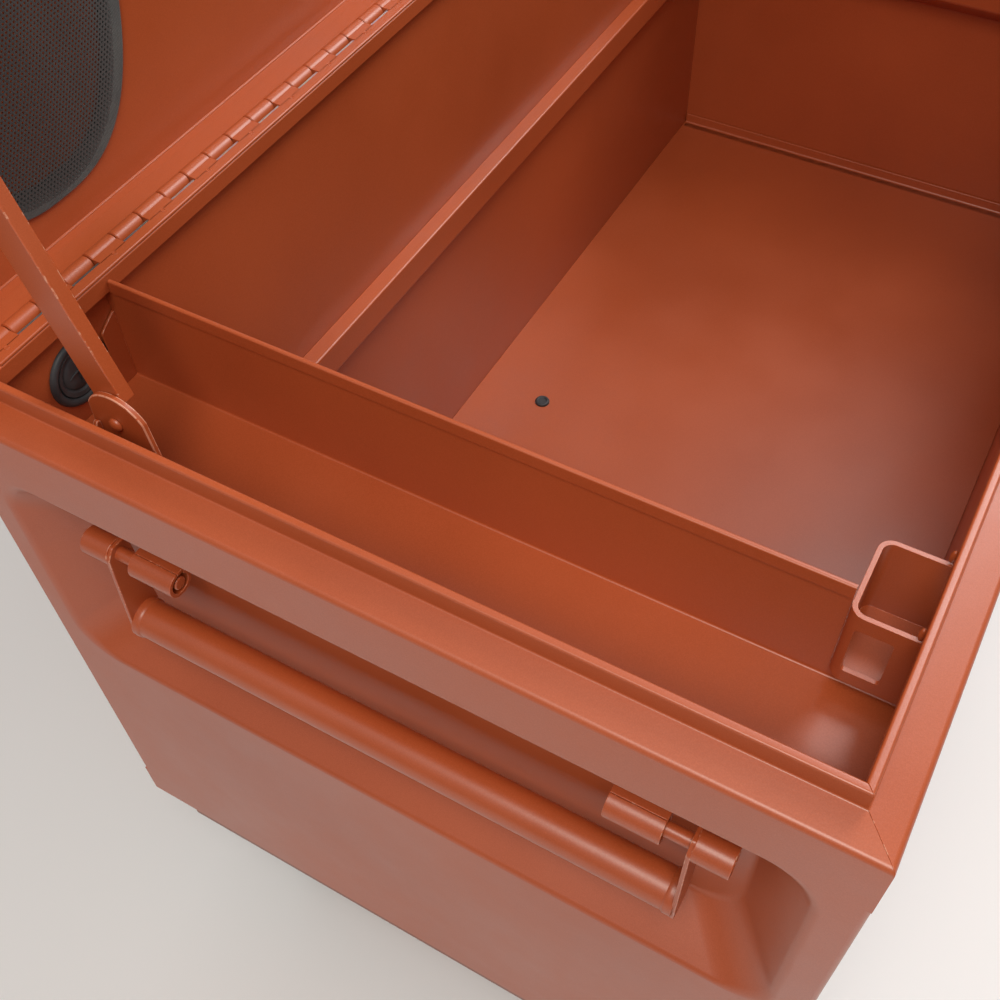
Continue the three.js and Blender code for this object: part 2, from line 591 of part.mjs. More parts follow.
// Two cheeks and a crown; the wheel hangs a trail's length behind the swivel.
function fork(trail, crownTop, crownEnds) {
  const { wheel, forkHalf, fork: sheet } = CASTER;
  const [back, front] = crownEnds;
  const cheekTop = Math.max(front, trail + 18);
  const outline = new THREE.Shape();
  outline.moveTo(back, crownTop);
  outline.lineTo(back, crownTop - 14);
  outline.lineTo(trail - 15, wheel);
  outline.absarc(trail, wheel, 15, Math.PI, Math.PI * 2);
  outline.lineTo(cheekTop, crownTop - 12);
  outline.lineTo(cheekTop, crownTop);
  const cheeks = alongY(outline, -forkHalf, forkHalf);
  const inside = forkHalf - sheet;
  const between = box(-200, 200, -inside, inside, -50, crownTop - sheet);
  const ahead = box(front, 200, -inside, inside, -50, crownTop + 1);
  const bore = rod(CASTER.axle + GAP, 100, 'y', [trail, -50, wheel], 16);
  return cheeks.subtract(between).subtract(ahead).subtract(bore);
}

function wheelBody(trail) {
  const { wheel, tread, hub, bore } = CASTER;
  const half = tread / 2;
  return turned([
    [bore, -half], [16, -half], [18, -half + 9], [hub + 18, -half + 9], [hub + 22, -half], [wheel - 5, -half],
    [wheel, -half + 5], [wheel, half - 5], [wheel - 5, half], [hub + 22, half], [hub + 18, half - 9],
    [18, half - 9], [16, half], [bore, half], [bore, -half],
  ], 'y', [trail, 0, wheel], SEGMENTS);
}

function axle(trail) {
  const { forkHalf, wheel, axle: radius } = CASTER;
  return turned([
    [0, -forkHalf - 7], [9, -forkHalf - 7], [9, -forkHalf - GAP], [radius, -forkHalf - GAP],
    [radius, forkHalf + GAP], [9, forkHalf + GAP], [9, forkHalf + 7], [0, forkHalf + 7],
  ], 'y', [trail, 0, wheel], 12);
}

// A foot pedal pivoted between the fork's cheeks, over the tread.
const swivelCrown = plateTop - CASTER.plate - 12 - GAP;
const PEDAL = { x: 42, drop: 5 };
function brakePedal() {
  const width = CASTER.forkHalf - CASTER.fork - GAP;
  const outline = new THREE.Shape();
  outline.moveTo(-6, 4);
  outline.lineTo(-6, -3.5);
  outline.lineTo(24, -7);
  outline.lineTo(60, -16);
  outline.lineTo(62, -12);
  outline.lineTo(30, 2);
  outline.lineTo(8, 4);
  return alongY(outline, -width, width);
}

// ---- assembly ----
const group = new THREE.Group();
const chest = new THREE.Group();
chest.position.z = RIM_HEIGHT;
group.add(chest);

const leftEnd = leftEndPanel();
chest.add(
  piece('front_panel', frontPanel(), COAT),
  piece('rear_panel', rearPanel(), COAT),
  ...bothEnds('end_panel', leftEnd, COAT),
  piece('floor_pan', floorPan(), COAT),
  piece('rear_rail', rearRail(), COAT),
  piece('tool_tray', toolTray(), COAT),
  ...bothEnds('padlock_box', padlockBox(), COAT),
  ...bothEnds('stay_bracket', stayBracket(), COAT),
  piece('cable_grommet', grommet(), RUBBER),
  piece('floor_plug', floorPlug(), RUBBER),
  piece('hinge_leaf_box', boxLeaf(), COAT),
  piece('hinge_pin', rod(PIN_RADIUS, HINGE_LENGTH - 1, 'x', [hingeStart + 0.5, ...BARREL], 8), ZINC),
);

// The lid's pieces are made closed, about the hinge axis, and the group turns them open.
const lid = new THREE.Group();
lid.position.set(0, BARREL[0], BARREL[1]);
lid.rotation.x = THREE.MathUtils.degToRad(-LID_OPEN);
chest.add(lid);
const aboutHinge = (mesh) => {
  mesh.position.set(0, -BARREL[0], -BARREL[1]);
  return mesh;
};
lid.add(...[
  piece('lid_shell', lidShell(), COAT),
  piece('hinge_leaf_lid', lidLeaf(), COAT),
  piece('lid_stiffener', lidStiffener(), COAT),
  ...bothEnds('lid_hasp', hasp(), COAT_DARK),
  ...bothEnds('stay_tab', stayTab(), COAT),
  piece('mesh_pocket', meshPocket(), MESH_CLOTH),
].map(aboutHinge));

// Each stay stands straight from its lower pivot to the lid.
const stay = new THREE.Group();
stay.position.set(0, LIP_Y - STAY_PIVOT.inboard, -STAY_PIVOT.drop);
stay.rotation.x = THREE.MathUtils.degToRad(-STAY_TILT);
chest.add(stay);
const link = new THREE.Group();
link.position.z = STAY_LOWER;
stay.add(link);
stay.add(...bothEnds('stay_bar', stayBar(), COAT));
link.add(...bothEnds('stay_link', stayLink(), COAT));
link.add(...bothEnds('stay_elbow_rivet', rivet(-LIP_X + 18 - GAP, 0, 0), ZINC));
const bracketFace = -LIP_X + 18 - GAP;
chest.add(...bothEnds('stay_foot_rivet', rivet(bracketFace, LIP_Y - STAY_PIVOT.inboard, -STAY_PIVOT.drop), COAT));

chest.add(...bothEnds('handle_tube', handleTube(), COAT));
for (const [side, end] of [[-1, 'front'], [1, 'rear']]) {
  chest.add(...bothEnds(`handle_arm_${end}`, handleArm(side), COAT));
  chest.add(...bothEnds(`handle_sleeve_${end}`, handleSleeve(side), COAT));
}

group.add(...bothEnds('skid', skid(), COAT_DARK));

// Swivel casters with brakes at the left end, fixed casters at the right end.
for (const [side, end] of [[-1, 'front'], [1, 'rear']]) {
  const y = side * CASTER.y;
  const swivel = new THREE.Group();
  swivel.position.set(-CASTER.x, y, 0);
  swivel.add(piece(`swivel_plate_${end}`, casterPlate(), ZINC));
  swivel.add(piece(`swivel_fork_${end}`, fork(CASTER.trail, swivelCrown, [-24, 30]), ZINC));
  swivel.add(piece(`swivel_wheel_${end}`, wheelBody(CASTER.trail), TYRE));
  swivel.add(piece(`swivel_axle_${end}`, axle(CASTER.trail), ZINC));
  const pedal = piece(`brake_pedal_${end}`, brakePedal(), COAT_DARK);
  pedal.position.set(PEDAL.x, 0, swivelCrown - PEDAL.drop);
  swivel.add(pedal);
  group.add(swivel);

  const fixed = new THREE.Group();
  fixed.position.set(CASTER.x, y, 0);
  fixed.add(piece(`fixed_fork_${end}`, fork(0, plateTop, [-34, 34]), ZINC));
  fixed.add(piece(`fixed_wheel_${end}`, wheelBody(0), TYRE));
  fixed.add(piece(`fixed_axle_${end}`, axle(0), ZINC));
  group.add(fixed);
}

// The origin is on the ground, under the middle of the whole outline.
const bounds = new THREE.Box3().setFromObject(group);
group.position.y = -(bounds.min.y + bounds.max.y) / 2;

export default group;
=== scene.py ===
"""The looks of a steel rolling tool chest, lid open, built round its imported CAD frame.

Pieces are written in chest millimetres: x along the chest from its middle, y from the middle of the rim
towards the hinge, z from the top of the rim's lip. at() turns them into the row frame, in metres.
"""
import math

import bmesh
import bpy
from mathutils import Matrix, Vector


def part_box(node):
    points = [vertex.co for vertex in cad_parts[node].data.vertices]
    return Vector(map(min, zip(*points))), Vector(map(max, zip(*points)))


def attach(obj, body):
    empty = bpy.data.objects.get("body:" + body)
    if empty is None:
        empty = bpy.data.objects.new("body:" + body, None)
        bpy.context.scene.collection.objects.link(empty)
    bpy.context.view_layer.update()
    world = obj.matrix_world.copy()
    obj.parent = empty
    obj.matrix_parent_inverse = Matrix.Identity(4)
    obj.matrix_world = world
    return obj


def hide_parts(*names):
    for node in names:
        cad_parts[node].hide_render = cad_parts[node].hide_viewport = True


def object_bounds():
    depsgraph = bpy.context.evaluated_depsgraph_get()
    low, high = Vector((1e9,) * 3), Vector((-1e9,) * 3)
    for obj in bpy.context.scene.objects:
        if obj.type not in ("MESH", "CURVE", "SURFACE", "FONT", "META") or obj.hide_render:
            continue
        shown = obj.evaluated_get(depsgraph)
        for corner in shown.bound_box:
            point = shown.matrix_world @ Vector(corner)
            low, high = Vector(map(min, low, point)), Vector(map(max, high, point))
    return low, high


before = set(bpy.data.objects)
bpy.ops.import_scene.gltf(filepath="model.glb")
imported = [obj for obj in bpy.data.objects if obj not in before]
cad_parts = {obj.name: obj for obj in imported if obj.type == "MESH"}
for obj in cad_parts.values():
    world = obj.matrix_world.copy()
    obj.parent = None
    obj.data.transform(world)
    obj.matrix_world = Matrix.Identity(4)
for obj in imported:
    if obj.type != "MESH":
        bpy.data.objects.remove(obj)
CAD_LOW, CAD_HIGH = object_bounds()
MM = 0.001


# ---- places worked out from the frame ----
def low(node):
    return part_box(node)[0]


def high(node):
    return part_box(node)[1]


RIM_Z = high("front_panel").z
MID_Y = (low("front_panel").y + high("rear_panel").y) / 2
HALF_X = high("end_panel_right").x / MM
HALF_Y = (high("rear_panel").y - MID_Y) / MM
LIP_X = high("rear_rail").x / MM
LEDGE = HALF_X - LIP_X
LIP_Y = HALF_Y - LEDGE
BODY_BOTTOM = (low("front_panel").z - RIM_Z) / MM
PIN_Y = ((low("hinge_pin").y + high("hinge_pin").y) / 2 - MID_Y) / MM
PIN_Z = ((low("hinge_pin").z + high("hinge_pin").z) / 2 - RIM_Z) / MM
FLOOR_TOP = (high("floor_pan").z - RIM_Z) / MM
LID_OPEN = math.radians(93)
SHEET = 2.0
BAND_DROP = 70.0
WALL_IN = 8.0
WALL_OUT = WALL_IN + SHEET
SKIN = LEDGE - SHEET
SKIRT_DROP = 520.0
WALL_TOP = -22.6
GAP = 0.3


def at(x, y, z):
    return Vector((x * MM, MID_Y + y * MM, RIM_Z + z * MM))


def local_box(node):
    """A CAD node's box in chest millimetres."""
    a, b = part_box(node)
    shift = Vector((0, MID_Y, RIM_Z))
    return (a - shift) / MM, (b - shift) / MM


# ---- materials ----
class Nodes:
    """A short way to write a material's node tree."""

    def __init__(self, name):
        self.material = bpy.data.materials.new(name)
        self.material.use_nodes = True
        self.tree = self.material.node_tree
        self.shader = self.tree.nodes["Principled BSDF"]
        self.place = self.tree.nodes.new("ShaderNodeTexCoord").outputs["Object"]

    def node(self, kind, inputs=(), **settings):
        made = self.tree.nodes.new(kind)
        for key, value in settings.items():
            setattr(made, key, value)
        for key, value in dict(inputs).items():
            self.give(made.inputs[key], value)
        return made

    def give(self, socket, value):
        if isinstance(value, bpy.types.NodeSocket):
            self.tree.links.new(value, socket)
        else:
            socket.default_value = value

    def set(self, **values):
        for key, value in values.items():
            self.give(self.shader.inputs[key.replace("_", " ")], value)

    def noise(self, scale, detail=2.0, roughness=0.5, where=None):
        inputs = {"Vector": where or self.place, "Scale": scale, "Detail": detail, "Roughness": roughness}
        return self.node("ShaderNodeTexNoise", inputs).outputs["Fac"]

    def ramp(self, factor, stops):
        made = self.node("ShaderNodeValToRGB", {"Fac": factor})
        elements = made.color_ramp.elements
        while len(elements) < len(stops):
            elements.new(0.5)
        for element, (position, colour) in zip(elements, stops):
            element.position = position
            element.color = (*colour, 1)
        return made.outputs["Color"]

    def spread(self, factor, start, end, to_start, to_end):
        inputs = {"Value": factor, 1: start, 2: end, 3: to_start, 4: to_end}
        return self.node("ShaderNodeMapRange", inputs).outputs["Result"]

    def mix(self, factor, first, second, blend="MIX"):
        made = self.node("ShaderNodeMix", data_type="RGBA", blend_type=blend)
        self.give(made.inputs[0], factor)
        for index, value in ((6, first), (7, second)):
            colour = value if isinstance(value, bpy.types.NodeSocket) else (*value, 1)
            self.give(made.inputs[index], colour)
        return made.outputs[2]

    def maths(self, operation, *values):
        made = self.node("ShaderNodeMath", operation=operation)
        for index, value in enumerate(values):
            self.give(made.inputs[index], value)
        return made.outputs[0]

    def bump(self, height, strength, distance, under=None):
        inputs = {"Height": height, "Strength": strength, "Distance": distance}
        if under is not None:
            inputs["Normal"] = under
        return self.node("ShaderNodeBump", inputs).outputs["Normal"]


ORANGE = (0.43, 0.082, 0.020)
ORANGE_DEEP = (0.35, 0.064, 0.016)
ORANGE_WORN = (0.62, 0.26, 0.16)


def powder_coat(name, bright=1.0, worn=0.0, gloss=0.36):
    """Satin powder coat: fine orange peel, drifting colour, and chips down to a pale primer where worn."""
    n = Nodes(name)
    drift = n.noise(4.5, 3.0)
    first = tuple(c * bright for c in ORANGE_DEEP)
    second = tuple(c * bright for c in ORANGE)
    colour = n.ramp(drift, [(0.3, first), (0.7, second)])
    grain = n.noise(1400.0, 1.0)
    colour = n.mix(n.spread(grain, 0.35, 0.75, 0.0, 0.22), colour, (0.62, 0.15, 0.06))
    if worn:
        patches = n.noise(260.0, 5.0, 0.7)
        chips = n.spread(patches, 0.62 - worn * 0.22, 0.66 - worn * 0.2, 0.0, 1.0)
        colour = n.mix(chips, colour, ORANGE_WORN)
    n.set(Base_Color=colour, Metallic=0.0, IOR=1.52)
    smudge = n.noise(9.0, 4.0)
    n.set(Roughness=n.spread(smudge, 0.3, 0.7, gloss - 0.04, gloss + 0.07))
    n.set(Specular_IOR_Level=0.6, Coat_Weight=0.15, Coat_Roughness=0.25, Coat_IOR=1.5)
    peel = n.noise(520.0, 2.0, 0.55)
    flat = n.noise(38.0, 1.0)
    n.set(Normal=n.bump(peel, 0.10, 0.0005, n.bump(flat, 0.06, 0.002)))
    return n.material


def zinc(name, colour=(0.58, 0.59, 0.6), roughness=0.32):
    """Bright zinc plate with its faint spangle and rubbed patches."""
    n = Nodes(name)
    spangle = n.node("ShaderNodeTexVoronoi", {"Vector": n.place, "Scale": 160.0}).outputs["Color"]
    tint = n.mix(0.12, colour, spangle)
    n.set(Base_Color=tint, Metallic=1.0)
    n.set(Roughness=n.spread(n.noise(30.0, 4.0), 0.3, 0.7, roughness - 0.08, roughness + 0.14))
    n.set(Normal=n.bump(n.noise(700.0, 2.0), 0.06, 0.0003))
    return n.material


def rubber(name, colour=(0.022, 0.024, 0.027), roughness=0.52):
    """Moulded rubber: a dusty, faintly mottled black."""
    n = Nodes(name)
    dust = n.noise(60.0, 5.0, 0.6)
    pale = tuple(c * 2.2 + 0.006 for c in colour)
    n.set(Base_Color=n.ramp(dust, [(0.35, colour), (0.8, pale)]))
    n.set(Roughness=n.spread(n.noise(120.0, 3.0), 0.3, 0.7, roughness - 0.08, roughness + 0.12))
    n.set(Normal=n.bump(n.noise(900.0, 2.0), 0.12, 0.0004))
    return n.material


def mesh_cloth(name, pitch=0.0032):
    """Open hexagonal netting: round holes on a staggered grid, with thread bumps between them."""
    n = Nodes(name)
    split = n.node("ShaderNodeSeparateXYZ", {"Vector": n.place})
    across = n.maths("DIVIDE", split.outputs["X"], pitch)
    along = n.maths("DIVIDE", split.outputs["Z"], pitch)
    rings = []
    for shift in (0.0, 0.5):
        u = n.maths("SUBTRACT", n.maths("FRACT", n.maths("ADD", across, shift)), 0.5)
        row = n.maths("ADD", n.maths("MULTIPLY", along, 0.58), shift)
        v = n.maths("SUBTRACT", n.maths("FRACT", row), 0.5)
        v = n.maths("MULTIPLY", v, 1.72)
        rings.append(n.maths("SQRT", n.maths("ADD", n.maths("MULTIPLY", u, u), n.maths("MULTIPLY", v, v))))
    distance = n.maths("MINIMUM", *rings)
    thread = n.spread(distance, 0.2, 0.3, 0.0, 1.0)
    n.set(Base_Color=n.ramp(n.noise(900.0), [(0.3, (0.012, 0.011, 0.011)), (0.8, (0.035, 0.03, 0.028))]))
    n.set(Roughness=0.82, Sheen_Weight=0.25, Alpha=thread)
    n.set(Normal=n.bump(distance, 0.5, 0.0006))
    return n.material


def webbing(name, pitch=0.0011):
    """Woven binding tape: a plain weave in dark grey-green."""
    n = Nodes(name)
    split = n.node("ShaderNodeSeparateXYZ", {"Vector": n.place})
    over = n.maths("SINE", n.maths("MULTIPLY", split.outputs["X"], math.tau / pitch))
    under = n.maths("SINE", n.maths("MULTIPLY", split.outputs["Z"], math.tau / pitch))
    weave = n.maths("MULTIPLY", over, under)
    fade = n.noise(60.0, 4.0)
    colour = n.ramp(fade, [(0.3, (0.022, 0.026, 0.024)), (0.75, (0.05, 0.055, 0.05))])
    n.set(Base_Color=colour, Roughness=0.85, Sheen_Weight=0.35)
    n.set(Normal=n.bump(weave, 0.6, 0.0004))
    return n.material


def floor_finish(name):
    """Pale matt studio floor."""
    n = Nodes(name)
    colour = n.ramp(n.noise(1.2, 2.0), [(0.3, (0.86, 0.86, 0.86)), (0.7, (0.9, 0.9, 0.9))])
    n.set(Base_Color=colour, Roughness=0.9, Specular_IOR_Level=0.2)
    return n.material


COAT = powder_coat("coat")
# Bevel and bend faces take this coat: real wear chips, plus a lighter colour that is a painted highlight
# along the edges.
COAT_EDGE_WEAR_AND_HIGHLIGHT = powder_coat("coat_edge_wear_and_highlight", bright=1.15, worn=0.35, gloss=0.3)
# The stay brackets' edge coat: real chips down to primer, plus a lighter colour that is a painted highlight
# on the rounded edge.
COAT_WORN_AND_HIGHLIGHT = powder_coat("coat_worn_and_highlight", bright=1.2, worn=1.0, gloss=0.4)
# A copy of the coat at half brightness. On the skids it is painted shade: they carry the body's coat, seen in
# shadow.
COAT_DARK = powder_coat("coat_dark", bright=0.5, gloss=0.42)
ZINC = zinc("zinc")
ZINC_DULL = zinc("zinc_dull", (0.42, 0.43, 0.45), 0.42)
RUBBER = rubber("rubber")
TYRE = rubber("tyre", (0.03, 0.031, 0.033), 0.6)
MESH_CLOTH = mesh_cloth("mesh_cloth")
WEBBING = webbing("webbing")


# ---- outlines ----
def fillet(corners, closed=True, steps=5):
    """Corners (a, b) or (a, b, radius) to points (a, b, on_arc); on_arc marks a stretch of a bend."""
    points = []
    count = len(corners)
    for i, corner in enumerate(corners):
        radius = corner[2] if len(corner) > 2 else 0
        here = Vector(corner[:2])
        end = not closed and i in (0, count - 1)
        if radius == 0 or end:
            points.append((here.x, here.y, False))
            continue
        before = (Vector(corners[i - 1][:2]) - here).normalized()
        after = (Vector(corners[(i + 1) % count][:2]) - here).normalized()
        half = before.angle(after) / 2
        reach = radius / math.tan(half)
        centre = here + (before + after).normalized() * (radius / math.sin(half))
        first = here + before * reach - centre
        last = here + after * reach - centre
        turn = first.angle_signed(last)
        for k in range(steps + 1):
            p = centre + Matrix.Rotation(-turn * k / steps, 2) @ first
            points.append((p.x, p.y, k < steps))
    return points


def rounded_rect(half_a, half_b, radius, centre=(0, 0), steps=6):
    a, b = centre
    corners = [(a + i * half_a, b + j * half_b, radius) for i, j in ((-1, -1), (1, -1), (1, 1), (-1, 1))]
    return fillet(corners, steps=steps)


def arc(centre, radius, start, end, steps):
    """Points on an arc, angles in degrees."""
    made = []
    for k in range(steps + 1):
        angle = math.radians(start + (end - start) * k / steps)
        made.append((centre[0] + radius * math.cos(angle), centre[1] + radius * math.sin(angle), True))
    return made


# ---- solids, added to a bmesh ----
def prism(bm, outline, start, end):
    """An outline swept between two places. Stretches marked as bends take the second material."""
    rings = [[bm.verts.new(place(p[0], p[1])) for p in outline] for place in (start, end)]
    count = len(outline)
    for i in range(count):
        j = (i + 1) % count
        face = bm.faces.new((rings[0][i], rings[0][j], rings[1][j], rings[1][i]))
        # Bend faces take the second material; on coated pieces this is the lighter edge coat, a painted
        # highlight with wear chips.
        face.material_index = 1 if len(outline[i]) > 2 and outline[i][2] else 0
    bm.faces.new(rings[0][::-1])
    bm.faces.new(rings[1])


def along_x(bm, outline, x0, x1):
    prism(bm, outline, lambda y, z: at(x0, y, z), lambda y, z: at(x1, y, z))


def along_y(bm, outline, y0, y1):
    prism(bm, outline, lambda x, z: at(x, y0, z), lambda x, z: at(x, y1, z))


def along_z(bm, outline, z0, z1):
    prism(bm, outline, lambda x, y: at(x, y, z0), lambda x, y: at(x, y, z1))


def block(bm, x0, x1, y0, y1, z0, z1):
    along_z(bm, [(x0, y0), (x1, y0), (x1, y1), (x0, y1)], z0, z1)


AXES = {
    "x": (Vector((1, 0, 0)), Vector((0, 1, 0)), Vector((0, 0, 1))),
    "y": (Vector((0, 1, 0)), Vector((0, 0, 1)), Vector((1, 0, 0))),
    "z": (Vector((0, 0, 1)), Vector((1, 0, 0)), Vector((0, 1, 0))),
}


def turned(bm, profile, axis, centre, segments=40, closed=False):
    """A (radius, height) profile turned round an axis through a chest point; radius 0 closes to a fan."""
    length, across, up = AXES[axis]
    middle = at(*centre)
    rings = []
    for radius, height in profile:
        base = middle + length * height * MM
        if radius < 1e-6:
            rings.append([bm.verts.new(base)])
            continue
        ring = []
        for k in range(segments):
            angle = math.tau * k / segments
            outward = across * math.cos(angle) + up * math.sin(angle)
            ring.append(bm.verts.new(base + outward * radius * MM))
        rings.append(ring)
    pairs = list(zip(rings, rings[1:]))
    if closed:
        pairs.append((rings[-1], rings[0]))
    for first, second in pairs:
        for k in range(segments):
            n = (k + 1) % segments
            if len(first) == 1 and len(second) == 1:
                continue
            if len(first) == 1:
                bm.faces.new((first[0], second[k], second[n]))
            elif len(second) == 1:
                bm.faces.new((first[k], second[0], first[n]))
            else:
                bm.faces.new((first[k], second[k], second[n], first[n]))


def rod(bm, radius, h0, h1, axis, centre, segments=32, edge=0.6):
    profile = [
        (0, h0), (radius - edge, h0), (radius, h0 + edge),
        (radius, h1 - edge), (radius - edge, h1), (0, h1),
    ]
    turned(bm, profile, axis, centre, segments)


def tube(bm, outer, inner, h0, h1, axis, centre, segments=32, edge=0.5):
    profile = [
        (inner + edge, h0), (outer - edge, h0), (outer, h0 + edge), (outer, h1 - edge), (outer - edge, h1),
        (inner + edge, h1), (inner, h1 - edge), (inner, h0 + edge),
    ]
    turned(bm, profile, axis, centre, segments, closed=True)


def dome(radius, height, steps=7):
    """Profile of a rivet head that stands on its plane towards -axis."""
    angles = [math.pi / 2 * k / steps for k in range(steps + 1)]
    return [(radius * math.cos(a), -height * math.sin(a)) for a in angles[:-1]] + [(0, -height)]


def mirror_x(bm):
    """Moves everything in the bmesh to the other end of the chest."""
    bmesh.ops.scale(bm, vec=(-1, 1, 1), verts=bm.verts)


# ---- pieces ----
def soften(obj, bevel, segments=3, angle=32):
    """Rounds an object's sharp edges and smooths its shading, leaving flats flat."""
    if bevel:
        made = obj.modifiers.new("rounded_edges", "BEVEL")
        made.width = bevel * MM
        made.segments = segments
        made.limit_method = "ANGLE"
        made.angle_limit = math.radians(angle)
        # Bevel faces take the second material; on coated pieces this is the lighter edge coat, a painted
        # highlight with wear chips.
        made.material = 1 if len(obj.data.materials) > 1 else -1
        made.use_clamp_overlap = True
    normals = obj.modifiers.new("flat_faces", "WEIGHTED_NORMAL")
    normals.weight = 80
    normals.keep_sharp = True


def finished_mesh(obj):
    """The object's mesh with its modifiers applied."""
    graph = bpy.context.evaluated_depsgraph_get()
    return bpy.data.meshes.new_from_object(obj.evaluated_get(graph))


def cut(obj, make_cutter):
    """Takes away from an object the solids that make_cutter adds to a bmesh."""
    bm = bmesh.new()
    make_cutter(bm)
    bmesh.ops.recalc_face_normals(bm, faces=bm.faces)
    mesh = bpy.data.meshes.new("cutter")
    bm.to_mesh(mesh)
    bm.free()
    cutter = bpy.data.objects.new("cutter", mesh)
    bpy.context.scene.collection.objects.link(cutter)
    made = obj.modifiers.new("cut", "BOOLEAN")
    made.operation = "DIFFERENCE"
    made.solver = "EXACT"
    made.use_self = True
    made.object = cutter
    bpy.context.view_layer.update()
    obj.data = finished_mesh(obj)
    obj.modifiers.clear()
    bpy.data.objects.remove(cutter)


def thicken(obj, inward):
    """Gives a single sheet its thickness, away from the side that inward points to at its biggest face."""
    biggest = max(obj.data.polygons, key=lambda p: p.area)
    made = obj.modifiers.new("thickness", "SOLIDIFY")
    made.thickness = SHEET * MM
    made.offset = 1 if biggest.normal.dot(inward) > 0 else -1
    bpy.context.view_layer.update()
    obj.data = finished_mesh(obj)
    obj.modifiers.clear()


def piece(
    name, bm, body, materials, slot, stands_for=(), bevel=0.0, cutter=None, inward=None, smooth_angle=40,
):
    """Turns a bmesh into a piece that rides on a body."""
    bmesh.ops.recalc_face_normals(bm, faces=bm.faces)
    mesh = bpy.data.meshes.new(name)
    bm.to_mesh(mesh)
    bm.free()
    obj = bpy.data.objects.new(name, mesh)
    bpy.context.scene.collection.objects.link(obj)
    if cutter:
        cut(obj, cutter)
    if inward:
        thicken(obj, inward)
    obj.data.materials.clear()
    for material in materials:
        obj.data.materials.append(material)
    obj.data.shade_smooth()
    if not bevel:
        obj.data.set_sharp_from_angle(angle=math.radians(smooth_angle))
    soften(obj, bevel)
    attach(obj, body)
    if stands_for:
        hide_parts(*stands_for)
    return obj


COATED = (COAT, COAT_EDGE_WEAR_AND_HIGHLIGHT)


def coated(name, bm, body, stands_for=(), **options):
    return piece(name, bm, body, COATED, "coat", stands_for, **options)


def dress(node, material, edge=None, bevel=0.8):
    """Keeps a CAD node's shape, rounding its edges and giving it a finish."""
    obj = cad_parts[node]
    obj.data.materials.clear()
    obj.data.materials.append(material)
    if edge:
        obj.data.materials.append(edge)
    weld = obj.modifiers.new("weld", "WELD")
    weld.merge_threshold = 1e-5
    flat = obj.modifiers.new("merge_flats", "DECIMATE")
    flat.decimate_type = "DISSOLVE"
    flat.angle_limit = math.radians(1.5)
    obj.data.shade_smooth()
    soften(obj, bevel)


SIDES = (("left", -1), ("right", 1))
ENDS = (("front", -1), ("rear", 1))


# ---- rim and walls: u is outboard of the lip's inner face ----
RIM_TOP = [(0, 0, 1.6), (5.5, 0, 1.6), (5.5, -14.5, 1.4), (LEDGE, -19.4, 4.2)]


def front_panel():
    """Lip, ledge and outer band mitred at the corners, with the single wall behind them down to the skirt."""
    section = [
        (0, -15.5, 0.5), *RIM_TOP, (LEDGE, -BAND_DROP, 0.8), (SKIN, -BAND_DROP, 0.8), (SKIN, -22.5, 2),
        (WALL_OUT, -17.6), (WALL_OUT, WALL_TOP), (WALL_IN, WALL_TOP), (WALL_IN, -15.5, 0.5),
    ]
    outline = fillet(section)
    bm = bmesh.new()
    run = GAP / 2 - LIP_X
    prism(bm, outline, lambda u, z: at(run - u, -LIP_Y - u, z), lambda u, z: at(u - run, -LIP_Y - u, z))
    return coated("front_rim", bm, "chest", ["front_panel"], bevel=0.5, cutter=lock_windows)


def lock_windows(bm):
    """Hand holes in the front band and wall, level with the padlock boxes."""
    for side in ("left", "right"):
        a, b = local_box(f"padlock_box_{side}")
        x = (a.x + b.x) / 2
        outline = rounded_rect(22, 21, 6, (x, -55))
        along_y(bm, outline, -HALF_Y - 5, -LIP_Y - WALL_IN + 3)


def long_wall(name, towards, node):
    """The wall from rim to skirt, the skirt's outer step and the bottom flange."""
    end = LIP_X + SKIN - GAP
    z0 = BODY_BOTTOM
    section = fillet([
        (WALL_IN, WALL_TOP), (WALL_OUT, WALL_TOP), (WALL_OUT, -SKIRT_DROP, 2), (LEDGE, -SKIRT_DROP, 3),
        (LEDGE, z0, 2.5), (SKIN, z0), (SKIN, -SKIRT_DROP - SHEET, 1), (WALL_OUT, -SKIRT_DROP - SHEET, 1),
        (WALL_OUT, z0),
        (-22, z0), (-22, z0 + SHEET), (WALL_IN, z0 + SHEET, 1),
    ])
    bm = bmesh.new()
    outline = [(towards * (LIP_Y + u), z, bend) for u, z, bend in section]
    along_x(bm, outline, -end, end)
    cutter = grommet_hole if towards > 0 else lock_windows
    return coated(name, bm, "chest", [node], cutter=cutter)


def grommet_hole(bm):
    """The hole that the cable grommet snaps into."""
    a, b = local_box("cable_grommet")
    rod(bm, (b.x - a.x) / 2 - 5.5, -20, 20, "y", ((a.x + b.x) / 2, LIP_Y + WALL_IN, (a.z + b.z) / 2))


def rear_rim():
    """The rear lip, flat on top under the hinge leaf."""
    top = -SHEET - GAP
    section = fillet([
        (0, -15.5), (0, top, 1.5), (WALL_OUT, top), (WALL_OUT, WALL_TOP), (WALL_IN, WALL_TOP),
        (WALL_IN, top - SHEET), (SHEET, top - SHEET, 0.6), (SHEET, -15.5),
    ])
    bm = bmesh.new()
    along_x(bm, [(LIP_Y + u, z, bend) for u, z, bend in section], -LIP_X + GAP, LIP_X - GAP)
    return coated("rear_rim", bm, "chest", ["rear_panel"])


POST_CORNER = 3.5
POST_RETURN = 60
SKIN_TOP = -40


